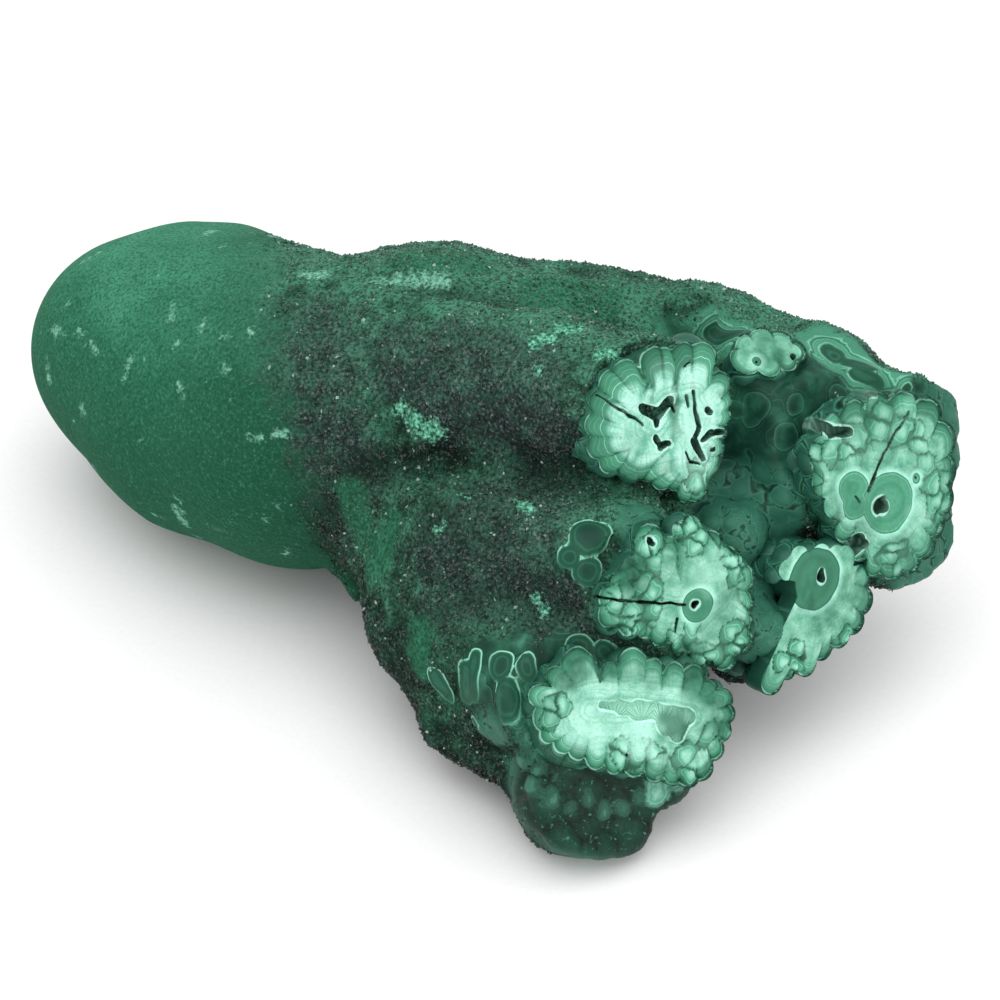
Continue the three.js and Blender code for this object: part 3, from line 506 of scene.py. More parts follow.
def body_field(points):
    """Distance to the body's skin: limbs, fingers back to their collars, whole lobes, creases."""
    d = np.full(len(points), SPARE)
    for a, b, softness in LIMBS:
        d = soft_min(d, bar_distance(points, a, b), softness)
    for finger in FINGERS.values():
        axes = face_axes(finger)
        ridge = np.full(len(points), SPARE)
        for s, t, radius in finger["cores"]:
            end = np.array(finger["at"]) + s * axes[0] + t * axes[1]
            ridge = np.minimum(ridge, bar_distance(points, finger["root"], (*end, radius + FLANK)))
        ahead = (points - np.array(finger["at"])) @ axes[2] + finger["collar"]
        d = soft_min(d, np.maximum(ridge, ahead), 4)
    limits = [(in_face(FINGERS[name], points)[:, 2] + KNOB_BACK, FINGERS[name]["at"])
              for name in ("lowest", "right")]
    for x, y, z, radius in KNOBS:
        knob = np.linalg.norm(points - (x, y, z), axis=1) - radius
        ahead, _at = min(limits, key=lambda limit: np.linalg.norm(np.subtract(limit[1], (x, y, z))))
        d = soft_min(d, np.maximum(knob, ahead), 2.2)
    top = in_face(FINGERS["top"], points)
    hollow = np.hypot(top[:, 0] * 0.8, top[:, 1]) - TOP_HOLLOW
    d = -soft_min(-d, np.maximum(hollow, -1.0 - top[:, 2]), 1.5)
    for start, end, radius in CREASES:
        d = -soft_min(-d, bar_distance(points, (*start, radius), (*end, radius)), 2.5)
    return np.maximum(d + SKIN_BACK, -points[:, 2])


def lobe_bars(name, finger):
    """Round bars that make the lobed flank of a finger end, in face coordinates."""
    rng = np.random.RandomState(sum(map(ord, name)))
    middle = np.mean([lobe[:2] for lobe in finger["lobes"]], axis=0)
    bars = []
    for s, t, radius, *_rest in finger["lobes"]:
        inward = (middle - (s, t)) * 0.06
        bars.append(((s, t, 1.5, radius), (s + inward[0], t + inward[1], -rng.uniform(1.2, 3.0), radius)))
        rows = int((finger["collar"] + 5) / ROW_PITCH)
        for row in range(1, rows + 1):
            across = np.array([-(t - middle[1]), s - middle[0]])
            across *= (0.5 * (row % 2) + rng.uniform(-0.2, 0.2)) * 2.4 / max(np.linalg.norm(across), 1)
            size = min(radius, 2.3) * rng.uniform(0.75, 1.1)
            spot = np.array((s, t)) + across + inward * row * 0.25
            depth = -row * ROW_PITCH + rng.uniform(-0.5, 0.5)
            bars.append(((*spot, depth, size), (*spot, depth - 0.4, size)))
    for s, t, radius in finger["cores"]:
        bars.append(((s, t, 1.5, radius - 0.5), (s, t, -SECTION_DEPTH + radius, radius)))
    return bars


def fans(finger):
    """Growth columns of a section: start and end, the radius at both, and the growth rate."""
    found = []
    path = finger["heart"]
    for s, t, radius, *more in finger["lobes"]:
        rate, *given = more or [1]
        end = np.array((s, t), float)
        anchor, length = np.array(given, float), 0.0
        if not given:
            length = SPARE
            for p0, p1 in zip(path, path[1:]):
                p0, along = np.array(p0, float), np.subtract(p1, p0)
                near = p0 + along * np.clip((end - p0) @ along / (along @ along), 0, 1)
                if np.linalg.norm(end - near) < length:
                    anchor, length = near, np.linalg.norm(end - near)
        length = max(np.linalg.norm(end - anchor), 0.1)
        start = anchor + (end - anchor) * min(0.6, 0.5 * finger["heart_size"] / length)
        found.append((start, end, radius * (0.3 if given else 0.5), radius, rate))
    return found


def slot_field(finger, q):
    """Distance to the nearest opening in the broken face."""
    d = np.full(len(q), SPARE)
    flat = q * (1, 1, 0)
    for s0, t0, s1, t1, width, depth in finger["slots"]:
        hole = bar_distance(flat, (s0, t0, 0, width / 2), (s1, t1, 0, width / 2 * 0.7))
        d = np.minimum(d, np.maximum(hole, -depth - q[:, 2]))
    return d


def section_field(finger, bars):
    """The distance field of a finger end in face coordinates, cut flat at the break."""
    columns = fans(finger)

    def field(q):
        d = np.full(len(q), SPARE)
        for a, b in bars:
            d = np.minimum(d, bar_distance(q, a, b))
        for start, end, first, radius, _rate in columns:
            fan = bar_distance(q * (1, 1, 0), (*start, 0, max(first, 0.85 * radius)), (*end, 0, radius))
            d = np.minimum(d, np.maximum(fan, -3.5 - q[:, 2]))
        wavy = q + 0.25 * np.stack([lattice_noise(q, 1.2, 8), lattice_noise(q, 1.2, 9), np.zeros(len(q))], 1)
        return np.maximum(np.maximum(d, q[:, 2]), -slot_field(finger, wavy))
    return field


def lobe_gap(q, bars):
    """Distance between the two nearest lobes."""
    near, second = np.full(len(q), SPARE), np.full(len(q), SPARE)
    for a, b in bars:
        d = bar_distance(q, a, b)
        second = np.minimum(second, np.maximum(near, d))
        near = np.minimum(near, d)
    return second - near


def growth(finger, q):
    """How the stone grew, seen on the broken face: depth below the last growth surface, distance beyond
    the heart, gap to the next lobe, which lobe, and place across the lobe."""
    heart = np.full(len(q), SPARE)
    path = finger["heart"]
    for (s0, t0), (s1, t1) in zip(path, path[1:]):
        heart = np.minimum(heart, bar_distance(q * (1, 1, 0), (s0, t0, 0, 0), (s1, t1, 0, 0)))
    best, second = np.full(len(q), -SPARE), np.full(len(q), -SPARE)
    owner, beside = np.zeros(len(q), int), np.zeros(len(q))
    for n, (start, end, first, radius, rate) in enumerate(fans(finger)):
        away, widen = end - start, radius - first
        reach = np.linalg.norm(away) + widen
        offset = q[:, :2] - start
        angle = np.arctan2(offset @ (-away[1], away[0]), offset @ away)
        frill = finger["frill"] * np.clip(radius / 2.5, 0.5, 2)
        scallop = (2 * np.mod(angle * SCALLOPS + 0.37 * n, 1) - 1) ** 2 * frill
        square = np.einsum("ij,ij->i", offset, offset)
        a2 = away @ away - widen * widen
        a2 = a2 if abs(a2) > 0.02 else 0.02
        b2 = offset @ away + first * widen
        root = b2 * b2 - a2 * (square - first * first)
        age = np.where(root > 0, (b2 - np.sqrt(np.maximum(root, 0))) / a2, 9)
        along = np.clip(offset @ away / (away @ away + 1e-9), 0, 1)
        off_axis = np.linalg.norm(offset - along[:, None] * away, axis=1)
        outside = off_axis - (first + along * widen)
        fallback = along + (outside * 1.6 + 0.1) / reach
        age = np.where((root > 0) & (age > -0.5) & (age < 1.5), age, np.maximum(fallback, along))
        age = np.where(square < first * first, 0, age)
        depth = ((1 - age) * reach - scallop) / rate
        owner = np.where(depth > best, n, owner)
        beside = np.where(depth > best, angle * 3 + 7 * n, beside)
        second = np.maximum(second, np.minimum(best, depth))
        best = np.maximum(best, depth)
    return best, heart - finger["heart_size"], best - second, owner, beside


def soft_spots(points, spots, reach=1.0):
    """1 inside any of the bars [start, end, radius], falling smoothly to 0."""
    total = np.zeros(len(points))
    for start, end, radius, *_rest in spots:
        d = bar_distance(points, (*start, 0), (*end, 0))
        total = np.maximum(total, 1 - smoothstep(radius - 0.5 * reach, radius + 0.5 * reach, d))
    return total


def flush_lobes(points, uneven):
    """Depth inside the lobes worn flush with the crust, and how bright their outline is there."""
    window, edge = np.full(len(points), -1.0), np.zeros(len(points))
    for start, end, radius, bright in WINDOWS:
        inside = radius - bar_distance(uneven, (*start, 0), (*end, 0))
        above = (points[:, 2] - (start[2] + end[2]) / 2) / (radius + abs(start[2] - end[2]) / 2)
        edge = np.where(inside > window, bright * smoothstep(-0.9, 0.5, above), edge)
        window = np.maximum(window, inside)
    return window, edge


def hanging_lobes(points):
    """Height of the small lobes round the lowest finger, 1 along their middles, and how pale they are."""
    hang, paleness = np.zeros(len(points)), np.zeros(len(points))
    for start, end, radius, light in HANGING:
        inside = 1 - (bar_distance(points, (*start, 0), (*end, 0)) / radius) ** 2
        paleness = np.where(inside > hang, light, paleness)
        hang = np.maximum(hang, inside)
    return hang, paleness


def stump_marks(points, outward, crust):
    """Short scratches [start, end, radius] scattered where the stump has no crust."""
    rng = np.random.RandomState(40)
    marks = []
    for n in rng.choice(np.flatnonzero(crust < 0.1), MARK_COUNT, replace=False):
        along = unit(np.cross(outward[n], rng.normal(size=3))) * rng.uniform(0.1, 1.6)
        marks.append((points[n] - along, points[n] + along, rng.uniform(0.3, 0.8)))
    return marks


# ---- meshes ----


def to_frame(points):
    """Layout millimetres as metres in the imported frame."""
    return (points - CENTRE) * MM


def make_piece(name, vertices, quads, material, **values):
    """A smooth mesh object with one named number for each vertex from each of values."""
    mesh = bpy.data.meshes.new(name)
    mesh.vertices.add(len(vertices))
    mesh.vertices.foreach_set("co", to_frame(vertices).astype(np.float32).ravel())
    mesh.loops.add(quads.size)
    mesh.loops.foreach_set("vertex_index", quads.astype(np.int32).ravel())
    mesh.polygons.add(len(quads))
    mesh.polygons.foreach_set("loop_start", np.arange(0, quads.size, 4, dtype=np.int32))
    mesh.update(calc_edges=True)
    mesh.validate()
    mesh.polygons.foreach_set("use_smooth", np.ones(len(mesh.polygons), bool))
    for key, value in values.items():
        layer = mesh.attributes.new(key, "FLOAT", "POINT")
        layer.data.foreach_set("value", np.full(len(vertices), value, np.float32))
    mesh.materials.append(material)
    piece = bpy.data.objects.new(name, mesh)
    bpy.context.scene.collection.objects.link(piece)
    return piece


# ---- nodes ----


def colour(code):
    """An sRGB hex value as linear RGBA."""
    parts = [int(code[i:i + 2], 16) / 255 for i in (1, 3, 5)]
    return tuple(c / 12.92 if c <= 0.04045 else ((c + 0.055) / 1.055) ** 2.4 for c in parts) + (1.0,)


def add(tree, kind, links=None, out=0, stops=(), **settings):
    """Adds a node and returns its output called out. links maps an input's name or number to a value, a
    hex colour or another node's output; stops fills a colour ramp with [place, hex colour or grey]."""
    node = tree.nodes.new(kind)
    for key, value in settings.items():
        setattr(node, key, value)
    for key, value in (links or {}).items():
        if isinstance(value, bpy.types.NodeSocket):
            tree.links.new(value, node.inputs[key])
        else:
            hexed = isinstance(value, str) and value.startswith("#")
            node.inputs[key].default_value = colour(value) if hexed else value
    for n, (place, tint) in enumerate(stops):
        elements = node.color_ramp.elements
        element = elements[n] if n < len(elements) else elements.new(1)
        element.position = place
        element.color = colour(tint) if isinstance(tint, str) else (tint, tint, tint, 1)
    return node.outputs[out] if len(node.outputs) else node


def grain_nodes():
    """Geometry nodes that put small tumbled crystals on a skin where its grains attribute is high."""
    tree = bpy.data.node_groups.new("crystal grains", "GeometryNodeTree")
    node = functools.partial(add, tree)
    face = tree.interface
    face.new_socket("Skin", in_out="INPUT", socket_type="NodeSocketGeometry")
    for label, kind, value in (("Density", "NodeSocketFloat", 1e6), ("Size", "NodeSocketFloat", 0.3 * MM),
                               ("Seed", "NodeSocketInt", 1)):
        face.new_socket(label, in_out="INPUT", socket_type=kind).default_value = value
    face.new_socket("Material", in_out="INPUT", socket_type="NodeSocketMaterial")
    face.new_socket("Grains", in_out="OUTPUT", socket_type="NodeSocketGeometry")
    inputs = node("NodeGroupInput").node.outputs
    weight = node("GeometryNodeInputNamedAttribute", {"Name": "grains"}, data_type="FLOAT")
    density = node("ShaderNodeMath", {0: weight, 1: inputs["Density"]}, operation="MULTIPLY")
    points = node("GeometryNodeDistributePointsOnFaces", {
        "Mesh": inputs["Skin"], "Density": density, "Seed": inputs["Seed"]})
    # glint: a random number for each grain, which the grain material uses to paint a few grains whitish as
    # glints.
    glint = node("FunctionNodeRandomValue", {"Seed": inputs["Seed"]}, out=1, data_type="FLOAT")
    marked = node("GeometryNodeStoreNamedAttribute", {"Geometry": points, "Name": "glint", "Value": glint},
                  data_type="FLOAT", domain="POINT")
    crystal = node("GeometryNodeMeshUVSphere", {"Segments": 4, "Rings": 2, "Radius": 1.0})
    turn = node("FunctionNodeRandomValue",
                {"Min": (0, 0, 0), "Max": (6.28, 6.28, 6.28), "Seed": inputs["Seed"]},
                data_type="FLOAT_VECTOR")
    size = node("FunctionNodeRandomValue", {"Min": (0.5, 0.5, 0.4), "Max": (1.5, 1.1, 1.0), "Seed": 7},
                data_type="FLOAT_VECTOR")
    scale = node("ShaderNodeVectorMath", {0: size, "Scale": inputs["Size"]}, operation="SCALE")
    grains = node("GeometryNodeInstanceOnPoints", {
        "Points": marked, "Instance": crystal, "Rotation": turn, "Scale": scale})
    real = node("GeometryNodeRealizeInstances", {0: grains})
    done = node("GeometryNodeSetMaterial", {"Geometry": real, "Material": inputs["Material"]})
    node("NodeGroupOutput", {0: done})
    return tree


def new_material(name):
    """A material without nodes, and the function that adds nodes to it."""
    material = bpy.data.materials.new(name)
    material.use_nodes = True
    material.node_tree.nodes.clear()
    return material, functools.partial(add, material.node_tree)


# ---- materials ----


def crust_colour(node, where):
    """Colour of the skin: velvet green stump, dark green and bluish grey crust, bruises, with painted top
    light, painted light and shade on the relief and painted shade in the creases. Also its relief.
    """
    crust, grey, upward, velvet, scratch, chip, dark, neck, rise = (
        node("ShaderNodeAttribute", out="Fac", attribute_name=name)
        for name in ("crust", "grey", "upward", "velvet", "scratch", "chip", "dark", "neck", "rise"))
    pile, fine, middle, broad = (
        node("ShaderNodeTexNoise", {"Vector": where, "Scale": 1000 / size, "Detail": 4, "Roughness": 0.65})
        for size in (0.42, 0.5, 1.5, 9))
    # Painted top light: height adds upward to the broad noise, so faces that point up are painted lighter, in
    # the velvet here and in the crust's green below.
    top_light = node("ShaderNodeMath", {0: upward, 1: 0.62}, operation="MULTIPLY")
    height = node("ShaderNodeMath", {0: broad, 1: 0.45, 2: top_light}, operation="MULTIPLY_ADD")
    base = node("ShaderNodeValToRGB", {0: height}, stops=[
        (0.1, "#195039"), (0.35, "#205d43"), (0.62, "#2b6e51"), (0.86, "#4a9778")])
    # Painted shade and highlight of the velvet's needle pile: specks of the pile noise are painted darker, as
    # shade in its dents, and lighter, as highlight on its tips.
    pile_shade = node("ShaderNodeValToRGB", {0: pile}, stops=[(0.38, 0.75), (0.53, 0.0)])
    pile_highlight = node("ShaderNodeValToRGB", {0: pile}, stops=[(0.56, 0.0), (0.72, 0.5)])
    darkened = node("ShaderNodeMath", {0: neck, 1: 0.6}, operation="MULTIPLY")
    for cover, tint in ((darkened, "#1d4c39"), (pile_shade, "#164833"), (pile_highlight, "#5fa787")):
        base = node("ShaderNodeMix", {0: cover, 6: base, 7: tint}, out=2, data_type="RGBA")
    # Painted light and shade on the relief: the crust's green is painted lighter where rise says the skin
    # stands up and darker in its hollows, and lighter again on up-facing skin through height.
    relief_light = node("ShaderNodeMath", {0: rise, 1: 0.3, 2: -0.02}, operation="MULTIPLY_ADD")
    lit = node("ShaderNodeMath", {0: middle, 1: 0.35, 2: relief_light}, operation="MULTIPLY_ADD")
    lit = node("ShaderNodeMath", {0: height, 1: 0.6, 2: lit}, operation="MULTIPLY_ADD")
    green = node("ShaderNodeValToRGB", {0: lit}, stops=[
        (0.34, "#0f1e18"), (0.5, "#1f4032"), (0.66, "#32654f"), (0.82, "#4c8d72")])
    # Painted shade in the hollows and painted highlight on the tops of the fine bumps: the same fine noise
    # drives the bump through ragged.
    bump_hollow_shade = node("ShaderNodeValToRGB", {0: fine}, stops=[(0.38, 0.75), (0.54, 0.0)])
    bump_top_highlight = node("ShaderNodeValToRGB", {0: fine}, stops=[(0.57, 0.0), (0.72, 0.5)])
    for cover, tint in ((bump_hollow_shade, "#0f1d17"), (bump_top_highlight, "#548f77")):
        green = node("ShaderNodeMix", {0: cover, 6: green, 7: tint}, out=2, data_type="RGBA")
    stone = node("ShaderNodeValToRGB", {0: fine}, stops=[
        (0.34, "#111615"), (0.46, "#292f30"), (0.58, "#484f51"), (0.72, "#8c9798")])
    patches = node("ShaderNodeValToRGB", {0: middle}, stops=[(0.45, 0.0), (0.65, 0.75)])
    stone = node("ShaderNodeMix", {0: patches, 6: stone, 7: "#22463a"}, out=2, data_type="RGBA")
    greyed = node("ShaderNodeMath", {0: grey, 1: 0.62}, operation="MULTIPLY")
    # Painted shade: dark, from the crease and area tables, darkens the crust's green towards near-black.
    painted_shade_cover = node("ShaderNodeMath", {0: dark, 1: 0.7}, operation="MULTIPLY")
    for cover, tint in ((greyed, stone), (painted_shade_cover, "#0e1c16")):
        green = node("ShaderNodeMix", {0: cover, 6: green, 7: tint}, out=2, data_type="RGBA")
    base = node("ShaderNodeMix", {0: crust, 6: base, 7: green}, out=2, data_type="RGBA")
    soft = node("ShaderNodeMath", {0: velvet, 1: 0.75}, operation="MULTIPLY")
    needles = node("ShaderNodeValToRGB", {0: fine}, stops=[(0.35, "#1b4e39"), (0.65, "#38805f")])
    base = node("ShaderNodeMix", {0: soft, 6: base, 7: needles}, out=2, data_type="RGBA")
    ragged = node("ShaderNodeMath", {0: fine, 1: 0.9, 2: middle}, operation="MULTIPLY_ADD")
    for mask, least, dull, bright in ((scratch, 0.76, "#4f9478", "#9ad6bf"),
                                      (chip, 0.8, "#348565", "#96ecca")):
        shown = node("ShaderNodeMath", {0: mask, 1: 0.5, 2: ragged}, operation="MULTIPLY_ADD")
        edge = node("ShaderNodeMath", {0: shown, 1: least + 0.45}, operation="SUBTRACT")
        cover = node("ShaderNodeValToRGB", {0: edge}, stops=[(0.0, 0.0), (0.3, 0.9)])
        tint = node("ShaderNodeValToRGB", {0: fine}, stops=[(0.4, dull), (0.68, bright)])
        base = node("ShaderNodeMix", {0: cover, 6: base, 7: tint}, out=2, data_type="RGBA")
    return base, ragged


def crust_material():
    """Velvet of short malachite needles on the stump, turning to a dark granular crust that is bruised pale
    in places, worn flush through some lobes and swollen into smooth glossy lobes between the fingers, with
    painted shade in the creases between lobes and clumps and painted sparkle on the clumps."""
    material, node = new_material("malachite velvet and granular crust")
    where = node("ShaderNodeTexCoord", out="Object")
    base, ragged = crust_colour(node, where)
    glossy, polished, window, edge, gap, wide, strip, crust, under, hollow, hang, light = (
        node("ShaderNodeAttribute", out="Fac", attribute_name=name)
        for name in ("lumpy", "polished", "window", "edge", "gap", "wide", "strip", "crust", "under",
                     "hollow", "hang", "paleness"))
    cloud, speck = (node("ShaderNodeTexNoise", {"Vector": where, "Scale": 1000 / size, "Detail": 5})
                    for size in (3.0, 0.6))
    smooth = node("ShaderNodeValToRGB", {0: cloud}, stops=[
        (0.34, "#103328"), (0.5, "#1a4536"), (0.64, "#295d4a"), (0.76, "#437f68")])
    arcs = node("ShaderNodeValToRGB", {0: wide}, stops=[
        (0.3, 0.0), (0.4, 0.12), (0.415, 0.4), (0.43, 0.0), (0.5, 0.0), (0.51, 0.2), (0.52, 0.0)])
    smooth = node("ShaderNodeMix", {0: arcs, 6: smooth, 7: "#579d82"}, out=2, data_type="RGBA")
    contour = node("ShaderNodeTexNoise", {"W": window, "Scale": 38, "Detail": 3}, noise_dimensions="1D")
    banding = node("ShaderNodeValToRGB", {0: contour}, stops=[
        (0.36, "#347359"), (0.5, "#478c70"), (0.56, "#7cc2a8"), (0.6, "#4c9377"), (0.7, "#488d71")])
    for cover, tint in ((polished, smooth), (strip, banding)):
        base = node("ShaderNodeMix", {0: cover, 6: base, 7: tint}, out=2, data_type="RGBA")
    # Painted shade: the glossy lobes are painted near-black where two of them meet, in the crease between
    # them; the paler ring just inside is their own outline.
    lobes = node("ShaderNodeValToRGB", {0: gap}, stops=[
        (0.0, "#0e2019"), (0.05, "#1f4b3c"), (0.1, "#407966"), (0.16, "#2e6753"), (0.6, "#35705d")])
    # Painted shade and sparkle under the lowest finger: the clumps are painted near-black in the crevices
    # between them, where hollow is small, with pale green specks painted on as sparkle.
    clumps = node("ShaderNodeValToRGB", {0: hollow}, stops=[
        (0.0, "#060e0b"), (0.1, "#0e261e"), (0.3, "#133227"), (0.6, "#193d2f")])
    painted_sparkle = node("ShaderNodeValToRGB", {0: speck}, stops=[(0.62, 0.0), (0.74, 0.7)])
    clumps = node("ShaderNodeMix", {0: painted_sparkle, 6: clumps, 7: "#5aa385"}, out=2, data_type="RGBA")
    lobes = node("ShaderNodeMix", {0: under, 6: lobes, 7: clumps}, out=2, data_type="RGBA")
    covered = node("ShaderNodeMath", {0: glossy, 1: 0.9}, operation="MULTIPLY")
    hanging = node("ShaderNodeValToRGB", {0: hang}, stops=[(0.0, 0.0), (0.4, 0.8)])
    jagged = node("ShaderNodeMath", {0: speck, 1: 0.4, 2: hang}, operation="MULTIPLY_ADD")
    plain = node("ShaderNodeValToRGB", {0: jagged}, stops=[
        (0.2, "#10281f"), (0.45, "#235443"), (0.55, "#183c2f"), (0.8, "#1f4b3a"), (1.0, "#326b55")])
    pale = node("ShaderNodeValToRGB", {0: jagged}, stops=[
        (0.2, "#285f4b"), (0.42, "#7fc2aa"), (0.52, "#4b8f76"), (0.66, "#80c1aa"), (0.76, "#5a9f85"),
        (1.0, "#93d0bb")])
    banded = node("ShaderNodeMix", {0: light, 6: plain, 7: pale}, out=2, data_type="RGBA")
    for cover, tint in ((covered, lobes), (hanging, banded)):
        base = node("ShaderNodeMix", {0: cover, 6: base, 7: tint}, out=2, data_type="RGBA")
    inside = node("ShaderNodeValToRGB", {0: window}, stops=[(0.499, 0.0), (0.503, 1.0)])
    pane = node("ShaderNodeValToRGB", {0: window}, stops=[
        (0.5, "#2c6a51"), (0.512, "#245a45"), (0.528, "#1e4b3b"), (0.545, "#2b6450"), (0.55, "#1f4c3c"),
        (0.6, "#1a4034"), (0.75, "#183a30")])
    outline = node("ShaderNodeValToRGB", {0: window},
                   stops=[(0.496, 0.0), (0.5, 1.0), (0.505, 1.0), (0.511, 0.0)])
    bright = node("ShaderNodeMath", {0: outline, 1: edge}, operation="MULTIPLY")
    for cover, tint in ((inside, pane), (bright, "#a2ecd0")):
        base = node("ShaderNodeMix", {0: cover, 6: base, 7: tint}, out=2, data_type="RGBA")
    polish = node("ShaderNodeMath", {0: glossy, 1: inside}, operation="MAXIMUM")
    polish = node("ShaderNodeMath", {0: polish, 1: polished}, operation="MAXIMUM", use_clamp=True)
    rough = node("ShaderNodeMapRange", {0: polish, 3: 0.8, 4: 0.42})
    strength = node("ShaderNodeMapRange", {0: polish, 3: 1.0, 4: 0.06})
    bump = node("ShaderNodeBump", {"Height": ragged, "Strength": strength, "Distance": 0.0005})
    pile = node("ShaderNodeMapRange", {0: crust, 3: 0.25, 4: 0.0})
    gloss = node("ShaderNodeMapRange", {0: polish, 3: 0.08, 4: 0.12})
    shader = node("ShaderNodeBsdfPrincipled", {
        "Base Color": base, "Roughness": rough, "Specular IOR Level": gloss, "Normal": bump,
        "Sheen Weight": pile, "Sheen Roughness": 0.4, "Sheen Tint": "#6ccfa4"})
    node("ShaderNodeOutputMaterial", {0: shader})
    return material


def grain_material():
    """Small crystal grains of the crust, in the crust's colours, that catch the light; many are darkened at
    random and a few are painted whitish as glints.
    """
    material, node = new_material("sparkling malachite grains")
    base, _ragged = crust_colour(node, node("ShaderNodeTexCoord", out="Object"))
    glint = node("ShaderNodeAttribute", out="Fac", attribute_name="glint")
    dim = node("ShaderNodeValToRGB", {0: glint}, stops=[(0.0, 0.6), (0.6, 0.0)])
    # Painted glints: the few grains whose glint is highest are painted whitish.
    lit = node("ShaderNodeValToRGB", {0: glint}, stops=[(0.975, 0.0), (0.99, 0.75)])
    for cover, tint in ((dim, "#111d19"), (lit, "#a9c4ba")):
        base = node("ShaderNodeMix", {0: cover, 6: base, 7: tint}, out=2, data_type="RGBA")
    shader = node("ShaderNodeBsdfPrincipled",
                  {"Base Color": base, "Roughness": 0.35, "Specular IOR Level": 0.45})
    node("ShaderNodeOutputMaterial", {0: shader})
    return material


